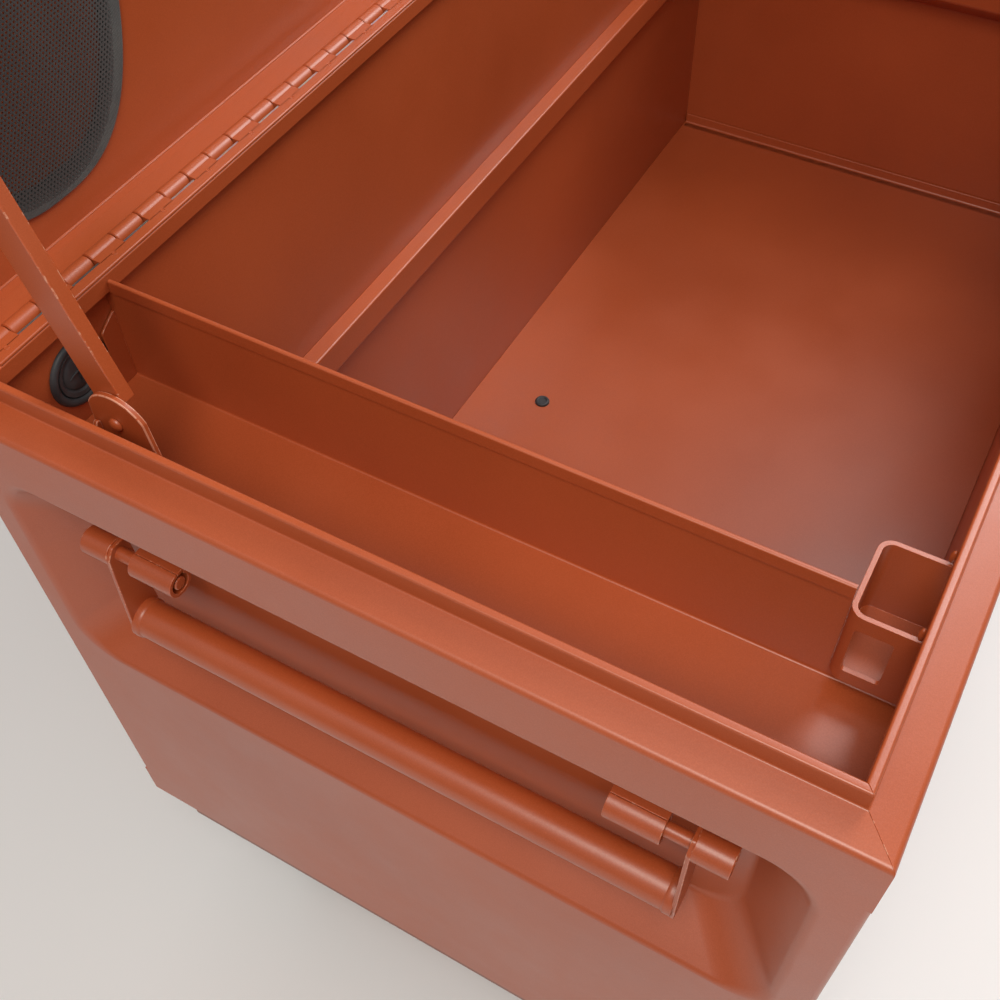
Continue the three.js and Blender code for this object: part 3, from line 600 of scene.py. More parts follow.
def end_rim(side, sign):
    """The end's lip and ledge, mitred to the front and square at the rear, with the bottom flange."""
    section = [
        (0, -15.5, 0.5), *RIM_TOP, (LEDGE, SKIN_TOP), (SKIN, SKIN_TOP), (SKIN, -22.5, 2), (5.5, -16.6, 1),
        (4, -15.5, 0.5),
    ]
    bm = bmesh.new()
    run = GAP / 2 - LIP_Y
    outline = fillet(section)
    prism(bm, outline, lambda u, z: at(-LIP_X - u, run - u, z), lambda u, z: at(-LIP_X - u, HALF_Y, z))
    flange = LIP_Y - 22.5
    block(bm, -LIP_X - SKIN, -LIP_X + 10, -flange, flange, BODY_BOTTOM, BODY_BOTTOM + SHEET)
    block(bm, -HALF_X, -HALF_X + POST_RETURN, HALF_Y - SHEET, HALF_Y, -BAND_DROP, -23)
    for y in (-1, 1):
        face = sorted((y * (LIP_Y + WALL_OUT + GAP), y * HALF_Y))
        x1 = -HALF_X + POST_RETURN
        block(bm, x1 - SHEET, x1, *face, -SKIRT_DROP + GAP, -BAND_DROP - GAP)
        strip = sorted((y * (HALF_Y - POST_CORNER), y * (HALF_Y - GAP / 2)))
        band = -BAND_DROP - GAP if y < 0 else -BAND_DROP
        for z1, z0 in ((SKIN_TOP, band), (-SKIRT_DROP + GAP, BODY_BOTTOM)):
            block(bm, -HALF_X, -HALF_X + SHEET, *strip, z0, z1)
    if sign > 0:
        mirror_x(bm)
    return coated(f"end_rim_{side}", bm, "chest", [f"end_panel_{side}"])


POCKET = {"top": 70.5, "bottom": 278, "half": 281, "corner": 35, "depth": 40.3, "slope": 38}


def end_skin(side, sign):
    """The end's outer sheet: pressed handle pocket in the middle, corner posts wrapped round both edges."""
    bm = bmesh.new()
    p = POCKET
    middle = -(p["top"] + p["bottom"]) / 2
    half_high = (p["bottom"] - p["top"]) / 2
    slope = [(-9, 0), (0, 0, 10), (p["slope"], p["depth"], 9), (p["slope"] + 12, p["depth"])]
    rings = []
    for inset, depth, _ in fillet(slope, closed=False, steps=7):
        shape = rounded_rect(p["half"] - inset, half_high - inset * 0.75, p["corner"], (0, middle), 9)
        rings.append([bm.verts.new(at(-HALF_X + depth, y, z)) for y, z, _ in shape])
    count = len(rings[0])
    for outer, inner in zip(rings, rings[1:]):
        for i in range(count):
            j = (i + 1) % count
            bm.faces.new((outer[i], outer[j], inner[j], inner[i]))
    bm.faces.new(rings[-1])
    edge_y = HALF_Y - POST_CORNER
    frame_corners = [
        (-edge_y, BODY_BOTTOM), (edge_y, BODY_BOTTOM), (edge_y, SKIN_TOP), (-edge_y, SKIN_TOP),
    ]
    border = [bm.verts.new(at(-HALF_X, y, z)) for y, z in frame_corners]
    edges = [bm.edges.new((border[i], border[(i + 1) % 4])) for i in range(4)]
    hole = [bm.edges.get((rings[0][i], rings[0][(i + 1) % count])) for i in range(count)]
    bmesh.ops.triangle_fill(bm, edges=edges + hole, use_beauty=True)
    for end in (-1, 1):
        path = fillet([
            (-HALF_X, end * edge_y), (-HALF_X, end * HALF_Y, POST_CORNER),
            (-HALF_X + POST_RETURN, end * HALF_Y),
        ], closed=False)
        top = -BAND_DROP - GAP if end < 0 else -BAND_DROP
        posts = [[bm.verts.new(at(x, y, z)) for x, y, _ in path[1:]] for z in (top, -SKIRT_DROP + GAP)]
        for i in range(len(path) - 2):
            bm.faces.new((posts[0][i], posts[0][i + 1], posts[1][i + 1], posts[1][i]))
    bmesh.ops.remove_doubles(bm, verts=bm.verts, dist=1e-5)
    if sign > 0:
        mirror_x(bm)
    return coated(f"end_skin_{side}", bm, "chest", [f"end_panel_{side}"], inward=Vector((-sign, 0, 0)))


# ---- inside the chest ----
def rear_rail():
    """Hat rail across the rear wall, its bends in the lighter edge coat as a painted highlight."""
    a, b = local_box("rear_rail")
    y0, y1 = a.y, b.y
    section = fillet([
        (y1, b.z), (y0, b.z, 2.2), (y0, a.z, 2.2), (y1, a.z), (y1, a.z + SHEET),
        (y0 + SHEET, a.z + SHEET, 0.6), (y0 + SHEET, b.z - SHEET, 0.6), (y1, b.z - SHEET),
    ])
    bm = bmesh.new()
    along_x(bm, section, a.x, b.x)
    return coated("rear_rail_formed", bm, "chest", ["rear_rail"])


def tool_tray():
    """Folded tray across the left end: hemmed wall, floor, and a short upstand under the lip."""
    a, b = local_box("tool_tray")
    lock_a, lock_b = local_box("padlock_box_left")
    floor = a.z + SHEET
    inside = b.x - SHEET
    section = fillet([
        (a.x, a.z, 2), (b.x, a.z, 2.2), (b.x, b.z, 1.2), (inside - 1.5, b.z, 1.2),
        (inside - 1.5, b.z - 10, 0.3), (inside, b.z - 10.6, 0.3), (inside, floor, 1.8),
        (a.x + SHEET, floor, 1), (a.x + SHEET, floor + 14, 0.5), (a.x, floor + 14, 0.5),
    ], steps=4)
    bm = bmesh.new()
    along_y(bm, section, a.y, b.y)

    def clearances(cutter):
        block(cutter, lock_a.x - 2, b.x + 3, a.y - 1, lock_b.y + GAP, lock_a.z - GAP, 5)
        block(cutter, a.x - 1, b.x + 3, LIP_Y - GAP, b.y + 1, -15.5 - GAP, 5)

    tray = coated("tray_formed", bm, "chest", ["tool_tray"], cutter=clearances)
    tab = bmesh.new()
    outline = fillet([(inside - 16, floor, 1), (inside, floor), (inside, -36, 1), (inside - 16, -46, 3)])
    along_y(tab, outline, b.y - 2.2, b.y - 0.2)
    coated("tray_end_tab", tab, "chest", bevel=0.5)
    return tray


def padlock_box(side, sign):
    """A steel band bent round the padlock, with a bottom plate and a window in the near cheek."""
    a, b = local_box("padlock_box_left")
    half_x = (b.x - a.x) / 2
    half_y = (b.y - a.y) / 2 + 20
    centre = ((a.x + b.x) / 2, b.y - half_y)
    bm = bmesh.new()
    along_z(bm, rounded_rect(half_x, half_y, 9, centre, 8), a.z, b.z)

    def hollow(cutter):
        along_z(cutter, rounded_rect(half_x - 3, half_y - 3, 6.2, centre, 8), a.z + 3, b.z + 5)
        block(cutter, a.x - 5, b.x + 5, a.y - 60, a.y, a.z - 5, b.z + 5)
        window = [(-LIP_Y + 11, -73, 2), (-LIP_Y + 33, -73, 2), (-LIP_Y + 33, -32, 2), (-LIP_Y + 11, -32, 2)]
        along_x(cutter, fillet(window, steps=3), a.x - 5, a.x + 12)

    obj = coated(f"padlock_band_{side}", bm, "chest", [f"padlock_box_{side}"], bevel=0.8, cutter=hollow)
    if sign > 0:
        for vertex in obj.data.vertices:
            vertex.co.x *= -1
        obj.data.flip_normals()
    return obj


def weld_beads():
    """Short weld beads where the padlock boxes meet the front rim."""
    bead = [(0, -5), (1.4, -4.2), (2.1, -2), (2.2, 0), (2.0, 2.2), (1.3, 4.2), (0, 5)]
    bm = bmesh.new()
    for side, _ in SIDES:
        a, b = local_box(f"padlock_box_{side}")
        for x in (a.x + 1, b.x - 1):
            turned(bm, bead, "z", (x, -LIP_Y + 1.2, b.z + 6.5), 14)
    return coated("weld_beads", bm, "chest")


def grommet():
    """Rubber cable grommet: a rolled outer flange, a thin membrane and a slit pressed through it."""
    a, b = local_box("cable_grommet")
    radius = (b.x - a.x) / 2
    centre = ((a.x + b.x) / 2, a.y, (a.z + b.z) / 2)
    bead = 3.2
    turns = [math.pi * k / 8 for k in range(9)]
    lip = [(radius - 3.3 + bead * math.cos(t), 3.4 - bead * math.sin(t)) for t in turns]
    bm = bmesh.new()
    profile = [
        (0, 3.2), (3, 3.1), (9, 2.6), (13, 2.9), (14.5, 4.0), (16, 2.4), (radius - 7.5, 1.8),
        *sorted(lip, key=lambda p: p[0]), (radius - 1, 3.7), (20, 3.8), (20, 9), (17, 9), (17, 4.4), (0, 4.3),
    ]
    turned(bm, profile, "y", centre, 56)
    for turn in (0.0, math.pi / 2):
        slit = []
        for k in range(13):
            t = -9 + 18 * k / 12
            x = t * math.cos(turn) + 1.2 * math.sin(t / 4)
            z = t * math.sin(turn) + 1.2 * math.cos(t / 4)
            slit.append((x, z))
        for (x0, z0), (x1, z1) in zip(slit, slit[1:]):
            quad = [(x0, z0 - 0.5), (x1, z1 - 0.5), (x1, z1 + 0.5), (x0, z0 + 0.5)]
            along_y(bm, [(centre[0] + x, centre[2] + z) for x, z in quad], a.y + 2.2, a.y + 3.4)
    return piece("grommet_rubber", bm, "chest", (RUBBER,), "rubber", ["cable_grommet"], smooth_angle=35)


def floor_plug():
    """Rubber plug in the cargo floor, with a moulded ring and a dished middle."""
    a, b = local_box("floor_plug")
    radius = (b.x - a.x) / 2
    profile = [
        (0, -8), (5.6, -8), (6, -7), (6, -1.5), (radius, -1.5), (radius, 1.2), (radius - 0.7, 2.3),
        (radius - 2, 2.9), (radius - 3.2, 2.6), (radius - 4, 1.5), (1.5, 1.2), (0, 1.9),
    ]
    bm = bmesh.new()
    turned(bm, profile, "z", ((a.x + b.x) / 2, (a.y + b.y) / 2, FLOOR_TOP), 36)
    return piece("floor_plug_rubber", bm, "chest", (RUBBER,), "rubber", ["floor_plug"])


def floor_upturns():
    """The floor's end flanges, turned up against the end walls."""
    for side, sign in SIDES:
        bm = bmesh.new()
        x = LIP_X + SKIN - GAP
        section = fillet([
            (x - 14, FLOOR_TOP), (x - 3, FLOOR_TOP, 3), (x - 3, FLOOR_TOP + 13, 1),
            (x - 0.2, FLOOR_TOP + 13, 0.8), (x - 0.2, FLOOR_TOP),
        ])
        along_y(bm, section, -LIP_Y - 6, LIP_Y + 6)
        if sign < 0:
            mirror_x(bm)
        coated(f"floor_upturn_{side}", bm, "chest")


# ---- hinge ----
KNUCKLES = 45
KNUCKLE_GAP = GAP * 1.4
HINGE_RADIUS = 6.5
HINGE_BORE = 3.3
SLOT = (LIP_Y + 8.6, LIP_Y + 11.2)


def knuckle_spans(first):
    """Every other knuckle's start and end along the pin, from the first one counted."""
    a, b = local_box("hinge_leaf_box")
    pitch = (b.x - a.x + 2 * GAP) / KNUCKLES
    starts = [a.x - GAP + i * pitch for i in range(first, KNUCKLES, 2)]
    return [(x + KNUCKLE_GAP, x + pitch - KNUCKLE_GAP) for x in starts]




def slot_strip():
    """Pale zinc strip under the slots beside the lid's knuckles: painted light, standing in for the bright
    outside seen through the slots.
    """
    a, b = local_box("hinge_leaf_box")
    bm = bmesh.new()
    block(bm, a.x + 1, b.x - 1, SLOT[0] - 0.8, SLOT[1], -1.75, -0.9)
    return piece("hinge_slot_strip", bm, "chest", (ZINC,), "zinc")


def box_leaf():
    """Leaf on the rear rim: a rounded inner edge, and its knuckles curled over the pin and staked."""
    a, b = local_box("hinge_leaf_box")
    bm = bmesh.new()
    inner = LIP_Y + 0.2
    outline = fillet([(inner, -SHEET), (inner, 0, 1.2), (SLOT[0], 0), (SLOT[0], -SHEET)])
    along_x(bm, outline, a.x, b.x)
    for x0, x1 in knuckle_spans(0):
        block(bm, x0, x1, SLOT[0] - 0.5, PIN_Y - 3.5, -SHEET, 0)
        tube(bm, HINGE_RADIUS, HINGE_BORE, x0, x1, "x", (0, PIN_Y, PIN_Z), 24, 0.7)
        rim = [(0, -0.6), (0.8, -0.5), (1.3, 0.35), (1.8, 0.4), (2.2, -0.2)]
        turned(bm, rim, "z", ((x0 + x1) / 2, SLOT[0] - 1.6, 0), 14)
    return coated("hinge_leaf_rim_side", bm, "chest", ["hinge_leaf_box"])


def about_hinge(x, y, z):
    """A point of the closed lid, turned open about the hinge pin."""
    dy, dz = y - PIN_Y, z - PIN_Z
    c, s = math.cos(-LID_OPEN), math.sin(-LID_OPEN)
    return at(x, PIN_Y + dy * c - dz * s, PIN_Z + dy * s + dz * c)


def lid_leaf():
    """Leaf inside the lid's rear skirt, with its own knuckles."""
    inner = HALF_Y - SHEET - GAP - SHEET
    bm = bmesh.new()
    a, b = local_box("hinge_leaf_box")
    leaf = fillet([(inner, 3.9), (inner + SHEET, 3.9), (inner + SHEET, 26), (inner, 26, 0.6)])
    prism(bm, leaf, lambda y, z: about_hinge(a.x, y, z), lambda y, z: about_hinge(b.x, y, z))
    for x0, x1 in knuckle_spans(1):
        tab = [(inner, -1.5), (inner + SHEET, -1.5), (inner + SHEET, 4), (inner, 4)]
        prism(bm, tab, lambda y, z: about_hinge(x0, y, z), lambda y, z: about_hinge(x1, y, z))
        tube(bm, HINGE_RADIUS, HINGE_BORE, x0, x1, "x", (0, PIN_Y, PIN_Z), 24, 0.7)
    return coated("hinge_leaf_lid_side", bm, "lid", ["hinge_leaf_lid"])


def hinge_pin():
    a, b = local_box("hinge_pin")
    bm = bmesh.new()
    rod(bm, 2.5, a.x, b.x, "x", (0, PIN_Y, PIN_Z), 20)
    return piece("hinge_pin_rod", bm, "chest", (ZINC,), "zinc", ["hinge_pin"])


# ---- lid ----
LID_TOP = 40.0


def lid_crease():
    """The folded seam where the lid's rear skirt meets its panel, all in the lighter edge coat as a painted
    highlight line.
    """
    bm = bmesh.new()
    y = HALF_Y - SHEET
    z = LID_TOP - SHEET
    outline = fillet([(y, z), (y - 3.4, z, 0.9), (y - 1.0, z - 1.0, 0.6), (y, z - 3.4, 0.9)], steps=3)
    # Every face is marked as a bend, so the whole seam takes the lighter edge coat: a painted highlight line.
    outline = [(u, v, True) for u, v, _ in outline]
    end = HALF_X - 8
    prism(bm, outline, lambda u, v: about_hinge(-end, u, v), lambda u, v: about_hinge(end, u, v))
    return coated("lid_crease", bm, "lid")


# ---- stays ----
def stay_bracket(side, sign):
    """Pivot plate with a chipped round edge, on a foot that runs back to the end wall, and a small gusset."""
    a, b = local_box("stay_bracket_left")
    rivet_a, rivet_b = local_box("stay_foot_rivet_left")
    pivot_y = (rivet_a.y + rivet_b.y) / 2
    pivot_z = (rivet_a.z + rivet_b.z) / 2
    x1 = b.x
    x0 = x1 - 4
    bm = bmesh.new()
    rounded = arc((pivot_y - 2, pivot_z), 24, 27, 157, 26)
    outline = [(pivot_y - 28, -52, False), (pivot_y + 22, -52, False), *rounded]
    along_x(bm, outline, x0, x1)
    block(bm, a.x, x1, a.y, b.y, -52, -48)
    block(bm, a.x, a.x + 4, a.y, b.y, a.z, -48)
    gusset = fillet([(x0 - 22, -48), (x0, -48), (x0, -20, 2)])
    along_y(bm, gusset, b.y - 8, b.y - 4.5)
    if sign > 0:
        mirror_x(bm)
    name = f"stay_bracket_plate_{side}"
    return piece(name, bm, "chest", (COAT, COAT_WORN_AND_HIGHLIGHT), "coat", [f"stay_bracket_{side}"], bevel=0.9)


def rivet(name, node, body, material, slot, sign):
    """A domed rivet with a slightly flattened crown and a skirt, standing on its plate."""
    a, b = local_box(node)
    radius = (b.y - a.y) / 2
    height = b.x - a.x
    base = b.x if sign < 0 else a.x
    crown = [(r * 0.98, h - 0.3) for r, h in dome(radius, height - 0.4)]
    profile = [(0, 0), (radius, 0), (radius, -0.4), *crown]
    bm = bmesh.new()
    turned(bm, [(r, h * -sign) for r, h in profile], "x", (base, (a.y + b.y) / 2, (a.z + b.z) / 2), 28)
    return piece(name, bm, body, (material,), slot, [node], smooth_angle=60)


# ---- drop handles ----
HANDLE = {
    "roll": 10.5, "plate": 3.0, "pin": 5.0, "tube": 14.25, "bore": 11.5, "roll_length": 24,
    "sleeve": (157, 193), "pivot_in": 11, "pivot_drop": 128.0,
}


def curl(radius, thickness, start, sweep, centre, steps=26):
    """Outline of a strip curled round a centre, from an angle through a sweep, in degrees."""
    outer = arc(centre, radius, start, start + sweep, steps)
    inner = arc(centre, radius - thickness, start + sweep, start, steps)
    return outer + inner


def handle(side, sign):
    """Tube, two arm plates with curled ears and collars, and the sleeves and pins on the pocket's back."""
    a, b = local_box("handle_tube_left")
    tube_x = (a.x + b.x) / 2
    tube_z = (a.z + b.z) / 2
    tube_y = (a.y + b.y) / 2
    half = (b.y - a.y) / 2
    pivot_x = -LIP_X - HANDLE["pivot_in"]
    pivot_z = -HANDLE["pivot_drop"]
    plate = HANDLE["plate"]
    roll = HANDLE["roll"]

    bm = bmesh.new()
    tube(bm, HANDLE["tube"], HANDLE["bore"], -half, half, "y", (tube_x, tube_y, tube_z), 48, 0.6)
    for end in (-1, 1):
        collar = [(13.9, -1.5), *[(15.2, h) for h in (-1.0, 0.6, 2.6, 4.4)], (14.3, 5.6), (13.9, 5.6)]
        y = tube_y + end * half
        turned(bm, [(r, -end * h) for r, h in collar], "y", (tube_x, y, tube_z), 48)
    if sign > 0:
        mirror_x(bm)
    coated(f"handle_grip_{side}", bm, f"handle_{side}", [f"handle_tube_{side}"], smooth_angle=50)

    for end_name, end in ENDS:
        inner = tube_y + end * (half + GAP)
        outline = fillet([
            (pivot_x - 4, pivot_z + roll - 1, 3), (pivot_x - roll, pivot_z + 2, 4),
            (-LIP_X - 26, tube_z + 2, 4), (-LIP_X - 26, tube_z - 13, 5),
            (tube_x + 5, tube_z - 16, 8), (tube_x + 15.4, tube_z - 5, 6),
            (pivot_x + roll, pivot_z - 2, 5), (pivot_x + roll - 2, pivot_z + roll - 2, 3),
        ])
        bm = bmesh.new()
        along_y(bm, outline, *sorted((inner, inner + end * plate)))
        ear = sorted((inner + end * (plate - 0.5), inner + end * (plate + HANDLE["roll_length"] - 1)))
        along_y(bm, curl(roll, 3, 20, 322, (pivot_x, pivot_z)), *ear)
        if sign > 0:
            mirror_x(bm)
        node = f"handle_arm_{end_name}_{side}"
        coated(f"{node}_formed", bm, f"handle_{side}", [node], bevel=0.7)

        s_a, s_b = local_box(f"handle_sleeve_{end_name}_left")
        bm = bmesh.new()
        y0, y1 = sorted(y * end for y in HANDLE["sleeve"])
        along_y(bm, curl(roll, 3, 92, 318, (pivot_x, pivot_z)), y0, y1)
        back = -HALF_X + POCKET["depth"] - GAP
        tail = fillet([
            (pivot_x, pivot_z + roll), (back, pivot_z + roll, 3), (back, pivot_z - 26, 0.6),
            (back - 3, pivot_z - 26, 0.6), (back - 3, pivot_z + roll - 3, 1.5), (pivot_x, pivot_z + roll - 3),
        ])
        along_y(bm, tail, y0, y1)
        rod(bm, HANDLE["pin"], s_a.y, s_b.y, "y", (pivot_x, 0, pivot_z), 24)
        block(bm, pivot_x - 1.5, pivot_x + 1.5, y0 + 8, y1 - 8, pivot_z, pivot_z + roll - 1)
        if sign > 0:
            mirror_x(bm)
        node = f"handle_sleeve_{end_name}_{side}"
        coated(f"{node}_formed", bm, "chest", [node], bevel=0.6)


# ---- mesh pocket ----
POCKET_MESH = {"centre": 142, "half": 112, "bottom": 22, "top": 250, "round": 2.6}


def pocket_side(angle):
    """The pocket's bound edge as (x, up): a bag's foot, from one side's mouth round to the other's."""
    m = POCKET_MESH
    c, s = math.cos(angle), math.sin(angle)
    power = 2 / m["round"]
    x = m["half"] * math.copysign(abs(c) ** power, c)
    foot = (m["top"] - m["bottom"]) * (1 - abs(s) ** power)
    return x, m["bottom"] + foot


def pocket_point(x, up, stand):
    """A point of the pocket: x from its middle, up the lid from the hinge pin, stand off the lid's panel."""
    panel = LID_TOP - SHEET - GAP
    return about_hinge(-LIP_X + POCKET_MESH["centre"] + x, PIN_Y - up, panel - stand)


def pocket_stand(x, share):
    """The cloth bellies off the lid between its bound edges, with slack folds near the mouth."""
    across = max(0.0, 1 - (x / POCKET_MESH["half"]) ** 2)
    belly = math.sin(math.pi * min(share * 0.55 + 0.06, 1)) * across ** 0.7
    folds = math.sin(x * 0.11 + share * 1.6) * share * 0.9 * across
    return 1.0 + 8.0 * belly + folds


def mesh_pocket():
    """Netting pocket on the lid: one bellied sheet, bound round its foot, with an elastic mouth."""
    m = POCKET_MESH
    columns, rows = 72, 40
    bm = bmesh.new()
    grid = []
    for j in range(rows + 1):
        share = j / rows
        line = []
        for i in range(columns + 1):
            x, up = pocket_side(math.pi * (1 - i / columns))
            line.append(bm.verts.new(pocket_point(x, up + (m["top"] - up) * share, pocket_stand(x, share))))
        grid.append(line)
    for lower, upper in zip(grid, grid[1:]):
        for i in range(columns):
            bm.faces.new((lower[i], lower[i + 1], upper[i + 1], upper[i]))
    bmesh.ops.dissolve_degenerate(bm, dist=1e-5, edges=bm.edges)
    area = sum(f.calc_area() for f in bm.faces)
    cloth = piece(
        "pocket_netting", bm, "lid", (MESH_CLOTH,), "mesh_cloth", ["mesh_pocket"], smooth_angle=80,
    )
    bindings = [pocket_binding(), pocket_hem()]
    return cloth


TAPE = ((-1, -0.5), (-0.9, -1), (0.9, -1), (1, -0.5), (1, 0.5), (0.9, 1), (-0.9, 1), (-1, 0.5))


def ribbon(bm, centreline, across, half_width, half_thick):
    """A flat tape along a line of points; across gives the tape's own cross direction at each point."""
    rings = []
    for index, point in enumerate(centreline):
        ahead = centreline[min(index + 1, len(centreline) - 1)]
        behind = centreline[max(index - 1, 0)]
        side = across(index).normalized()
        normal = (ahead - behind).cross(side).normalized()
        ring = []
        for a, b in TAPE:
            ring.append(bm.verts.new(point + side * a * half_width * MM + normal * b * half_thick * MM))
        rings.append(ring)
    for first, second in zip(rings, rings[1:]):
        for k in range(8):
            n = (k + 1) % 8
            bm.faces.new((first[k], first[n], second[n], second[k]))
    bm.faces.new(rings[0][::-1])
    bm.faces.new(rings[-1])


def pocket_binding():
    """Woven tape sewn round the pocket's foot and up its sides."""
    m = POCKET_MESH
    steps = 96
    middle = (0.0, (m["top"] + m["bottom"]) / 2)
    edge = [pocket_side(math.pi * (1 - k / steps)) for k in range(steps + 1)]
    inward = []
    for k, (x, up) in enumerate(edge):
        x0, up0 = edge[max(k - 1, 0)]
        x1, up1 = edge[min(k + 1, steps)]
        normal = Vector((up0 - up1, x1 - x0)).normalized()
        if normal.dot(Vector((middle[0] - x, middle[1] - up))) < 0:
            normal.negate()
        inward.append(normal)
    line = [pocket_point(x + n.x * 9, up + n.y * 9, 1.7) for (x, up), n in zip(edge, inward)]

    def across(k):
        x, up = edge[k]
        n = inward[k]
        return pocket_point(x + n.x * 19, up + n.y * 19, 1.7) - line[k]

    bm = bmesh.new()
    ribbon(bm, line, across, 10, 1.0)
    return piece("pocket_binding", bm, "lid", (WEBBING,), "mesh_cloth", smooth_angle=60)


def pocket_hem():
    """Elastic tape gathered along the pocket's mouth."""
    m = POCKET_MESH
    steps = 80
    xs = [-m["half"] + 2 * m["half"] * k / steps for k in range(steps + 1)]
    line = [pocket_point(x, m["top"] - 5, pocket_stand(x, 1.0) + 0.3 * math.sin(x * 1.1)) for x in xs]
    bm = bmesh.new()

    def across(k):
        return pocket_point(xs[k], m["top"] + 5, pocket_stand(xs[k], 1.0)) - line[k]

    ribbon(bm, line, across, 6, 0.9)
    return piece("pocket_hem", bm, "lid", (WEBBING,), "mesh_cloth", smooth_angle=60)


# ---- running gear ----
def wheel(name, body):
    """A cast hub with spokes inside a rounded rubber tyre with a shallow groove each side."""
    a, b = local_box(name)
    centre = ((a.x + b.x) / 2, (a.y + b.y) / 2, (a.z + b.z) / 2)
    radius = (b.z - a.z) / 2
    half = (b.y - a.y) / 2
    bm = bmesh.new()
    rim = radius - 17
    tread = [
        (rim, -half + 3), (rim + 4, -half + 0.4), (radius - 9, -half), (radius - 4, -half + 1.2),
        (radius - 1.4, -half + 4), (radius - 0.2, -half + 9), (radius, 0),
    ]
    tread += [(r, -h) for r, h in reversed(tread[:-1])]
    turned(bm, tread, "y", centre, 72, closed=True)
    tyre = piece(f"{name}_tyre", bm, body, (TYRE,), "tyre", [name], smooth_angle=35)
    bm = bmesh.new()
    hub = [
        (6.4, -half), (14, -half), (16, -half + 1.5), (17, -half + 8), (20, -half + 11),
        (rim - 6, -half + 11), (rim - 2.5, -half + 8), (rim - 1.6, -half + 3.6), (rim, -half + 3),
    ]
    hub += [(r, -h) for r, h in reversed(hub)]
    turned(bm, hub, "y", centre, 72, closed=True)
    spoke = [(16, -2.2), (rim - 4, -1.6), (rim - 4, 1.6), (16, 2.2)]
    for k in range(6):
        c, s = math.cos(math.tau * k / 6), math.sin(math.tau * k / 6)
        points = [(centre[0] + r * c - t * s, centre[2] + r * s + t * c) for r, t in spoke]
        along_y(bm, points, centre[1] - half + 8, centre[1] + half - 8)
    piece(f"{name}_hub", bm, body, (COAT_DARK,), "coat_dark", smooth_angle=35)
    return tyre


def hexagon(radius, a, b):
    angles = [math.tau * k / 6 for k in range(6)]
    return [(a + radius * math.cos(t), b + radius * math.sin(t)) for t in angles]


def axle(name, body):
    """Axle bolt: hexagon head, washer both sides and a lock nut with its collar."""
    a, b = local_box(name)
    x, z = (a.x + b.x) / 2, (a.z + b.z) / 2
    y = (a.y + b.y) / 2
    half = (b.y - a.y) / 2
    bm = bmesh.new()
    rod(bm, 6, -half + 1, half - 0.5, "y", (x, y, z), 24)
    for end in (-1, 1):
        inside = half - 6.7
        along_y(bm, hexagon(8.6, x, z), *sorted((y + end * (inside + 1.5), y + end * (half - 1))))
        tube(bm, 9, 6, *sorted((end * inside, end * (inside + 1.4))), "y", (x, y, z), 28, 0.3)
    return piece(f"{name}_bolt", bm, body, (ZINC,), "zinc", [name], bevel=0.5)


def plate_bolts(node, name):
    """Four bolt heads under a caster's top plate."""
    a, b = local_box(node)
    bm = bmesh.new()
    x, y = (a.x + b.x) / 2, (a.y + b.y) / 2
    for i in (-1, 1):
        for j in (-1, 1):
            cx = x + i * ((b.x - a.x) / 2 - 12)
            cy = y + j * ((b.y - a.y) / 2 - 14)
            along_z(bm, hexagon(6.5, cx, cy), b.z - 11, b.z - 5.2)
    return piece(name, bm, "chest", (ZINC,), "zinc", bevel=0.5)


# ---- building ----
def build():
    """Every piece, and a finish for each CAD node that keeps its own shape."""
    front_panel()
    long_wall("front_wall", -1, "front_panel")
    long_wall("rear_wall", 1, "rear_panel")
    rear_rim()
    rear_rail()
    tool_tray()
    weld_beads()
    grommet()
    floor_plug()
    floor_upturns()
    box_leaf()
    slot_strip()
    lid_leaf()
    hinge_pin()
    lid_crease()
    mesh_pocket()
    for side, sign in SIDES:
        end_rim(side, sign)
        end_skin(side, sign)
        padlock_box(side, sign)
        stay_bracket(side, sign)
        handle(side, sign)
        rivet(f"foot_rivet_{side}", f"stay_foot_rivet_{side}", "chest", COAT, "coat", sign)
        rivet(f"elbow_rivet_{side}", f"stay_elbow_rivet_{side}", f"stay_link_{side}", ZINC, "zinc", sign)
        dress(f"stay_bar_{side}", COAT, COAT_EDGE_WEAR_AND_HIGHLIGHT, 0.9)
        dress(f"stay_link_{side}", COAT, COAT_EDGE_WEAR_AND_HIGHLIGHT, 0.6)
        dress(f"stay_tab_{side}", COAT, COAT_EDGE_WEAR_AND_HIGHLIGHT, 0.6)
        dress(f"lid_hasp_{side}", COAT_DARK, None, 0.8)
        # The skids' darker coat is painted shade; they are coated like the body.
        dress(f"skid_{side}", COAT_DARK, None, 0.9)
    for end, _ in ENDS:
        wheel(f"swivel_wheel_{end}", f"swivel_wheel_{end}")
        wheel(f"fixed_wheel_{end}", f"fixed_wheel_{end}")
        axle(f"swivel_axle_{end}", f"swivel_{end}")
        axle(f"fixed_axle_{end}", "chest")
        plate_bolts(f"swivel_plate_{end}", f"swivel_plate_bolts_{end}")
        dress(f"swivel_plate_{end}", ZINC_DULL, None, 0.7)
        dress(f"swivel_fork_{end}", ZINC_DULL, None, 0.8)
        dress(f"fixed_fork_{end}", ZINC_DULL, None, 0.8)
        dress(f"brake_pedal_{end}", COAT_DARK, None, 0.8)
    dress("floor_pan", COAT, COAT_EDGE_WEAR_AND_HIGHLIGHT, 0.5)
    dress("lid_shell", COAT, COAT_EDGE_WEAR_AND_HIGHLIGHT, 0.9)
    dress("lid_stiffener", COAT, COAT_EDGE_WEAR_AND_HIGHLIGHT, 0.8)


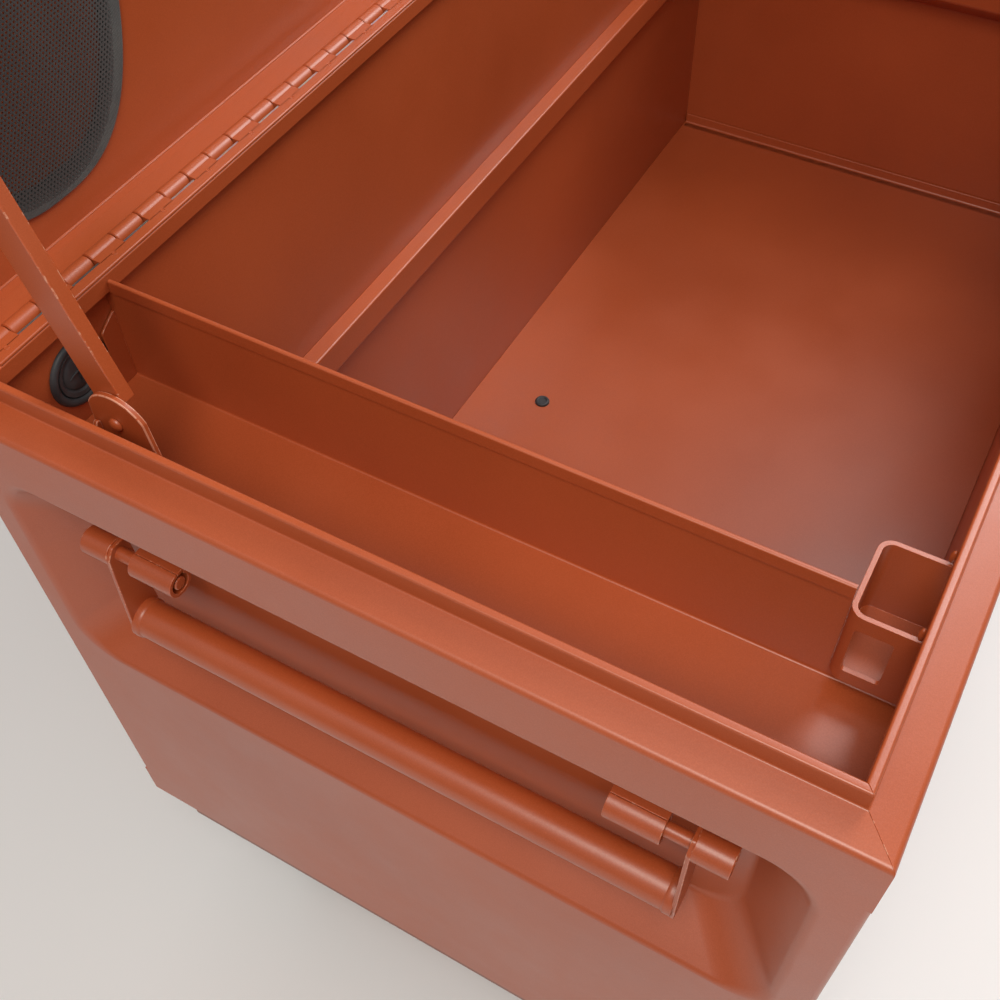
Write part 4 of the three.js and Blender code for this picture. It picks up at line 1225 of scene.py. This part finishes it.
# ---- studio ----
def studio_floor():
    """A flat floor just under the wheels."""
    bm = bmesh.new()
    bmesh.ops.create_grid(bm, x_segments=8, y_segments=8, size=14)
    bmesh.ops.translate(bm, vec=(0, 0, CAD_LOW.z - 0.0005), verts=bm.verts)
    mesh = bpy.data.meshes.new("studio_floor")
    bm.to_mesh(mesh)
    bm.free()
    obj = bpy.data.objects.new("studio_floor", mesh)
    bpy.context.scene.collection.objects.link(obj)
    obj.data.materials.append(floor_finish("studio_floor"))


def softbox(name, place, target, size, power, colour=(1, 1, 1)):
    """A rectangular soft light at a place in metres, turned towards a target."""
    data = bpy.data.lights.new(name, "AREA")
    data.shape = "RECTANGLE"
    data.size, data.size_y = size
    data.energy = power
    data.color = colour
    obj = bpy.data.objects.new(name, data)
    obj.location = place
    obj.rotation_euler = (Vector(target) - Vector(place)).to_track_quat("-Z", "Y").to_euler()
    bpy.context.scene.collection.objects.link(obj)


SKY = ((0.10, 0.10, 0.105), (0.58, 0.57, 0.56))
WARM_WHITE = (1, 0.93, 0.84)


def studio_light():
    """A pale sky that darkens towards the horizon, and two high softboxes in front, right and left."""
    world = bpy.data.worlds.new("studio")
    world.use_nodes = True
    nodes = world.node_tree.nodes
    links = world.node_tree.links
    place = nodes.new("ShaderNodeTexCoord")
    split = nodes.new("ShaderNodeSeparateXYZ")
    ramp = nodes.new("ShaderNodeValToRGB")
    for element, colour in zip(ramp.color_ramp.elements, SKY):
        element.color = (*colour, 1)
    links.new(place.outputs["Generated"], split.inputs[0])
    links.new(split.outputs["Z"], ramp.inputs[0])
    links.new(ramp.outputs[0], nodes["Background"].inputs["Color"])
    bpy.context.scene.world = world
    chest = (0, 0, RIM_Z)
    softbox("front_right", (1.6, -0.75, 2.6), chest, (1.0, 1.8), 50)
    softbox("front_left", (-1.4, -0.4, 2.35), (-0.3, 0.1, RIM_Z), (0.9, 0.9), 27, WARM_WHITE)


# The camera stands over the front left corner, placed in millimetres from the two lips and the rim's top.
CAMERA = {
    "beyond_end_lip": 285.3, "behind_front_lip": 18.3, "above_rim": 517.5,
    "heading": 31.37, "pitch": 51.70, "roll": 2.42, "lens": 42.91,
}


def camera():
    """The camera, from its heading, pitch and roll in degrees."""
    c = CAMERA
    heading, pitch, roll = (math.radians(c[k]) for k in ("heading", "pitch", "roll"))
    ahead = math.cos(pitch)
    forward = Vector((ahead * math.cos(heading), ahead * math.sin(heading), -math.sin(pitch)))
    level = Vector((math.sin(heading), -math.cos(heading), 0))
    upright = level.cross(forward)
    right = level * math.cos(roll) - upright * math.sin(roll)
    up = right.cross(forward)
    data = bpy.data.cameras.new("camera")
    data.lens = c["lens"]
    data.sensor_width = 36
    data.clip_start = 0.01
    data.clip_end = 100
    obj = bpy.data.objects.new("camera", data)
    rotation = Matrix((right, up, -forward)).transposed().to_4x4()
    place = at(-LIP_X - c["beyond_end_lip"], -LIP_Y + c["behind_front_lip"], c["above_rim"])
    obj.matrix_world = Matrix.Translation(place) @ rotation
    bpy.context.scene.collection.objects.link(obj)
    bpy.context.scene.camera = obj


camera()
studio_light()
studio_floor()
build()
bpy.context.scene.view_settings.view_transform = "Standard"
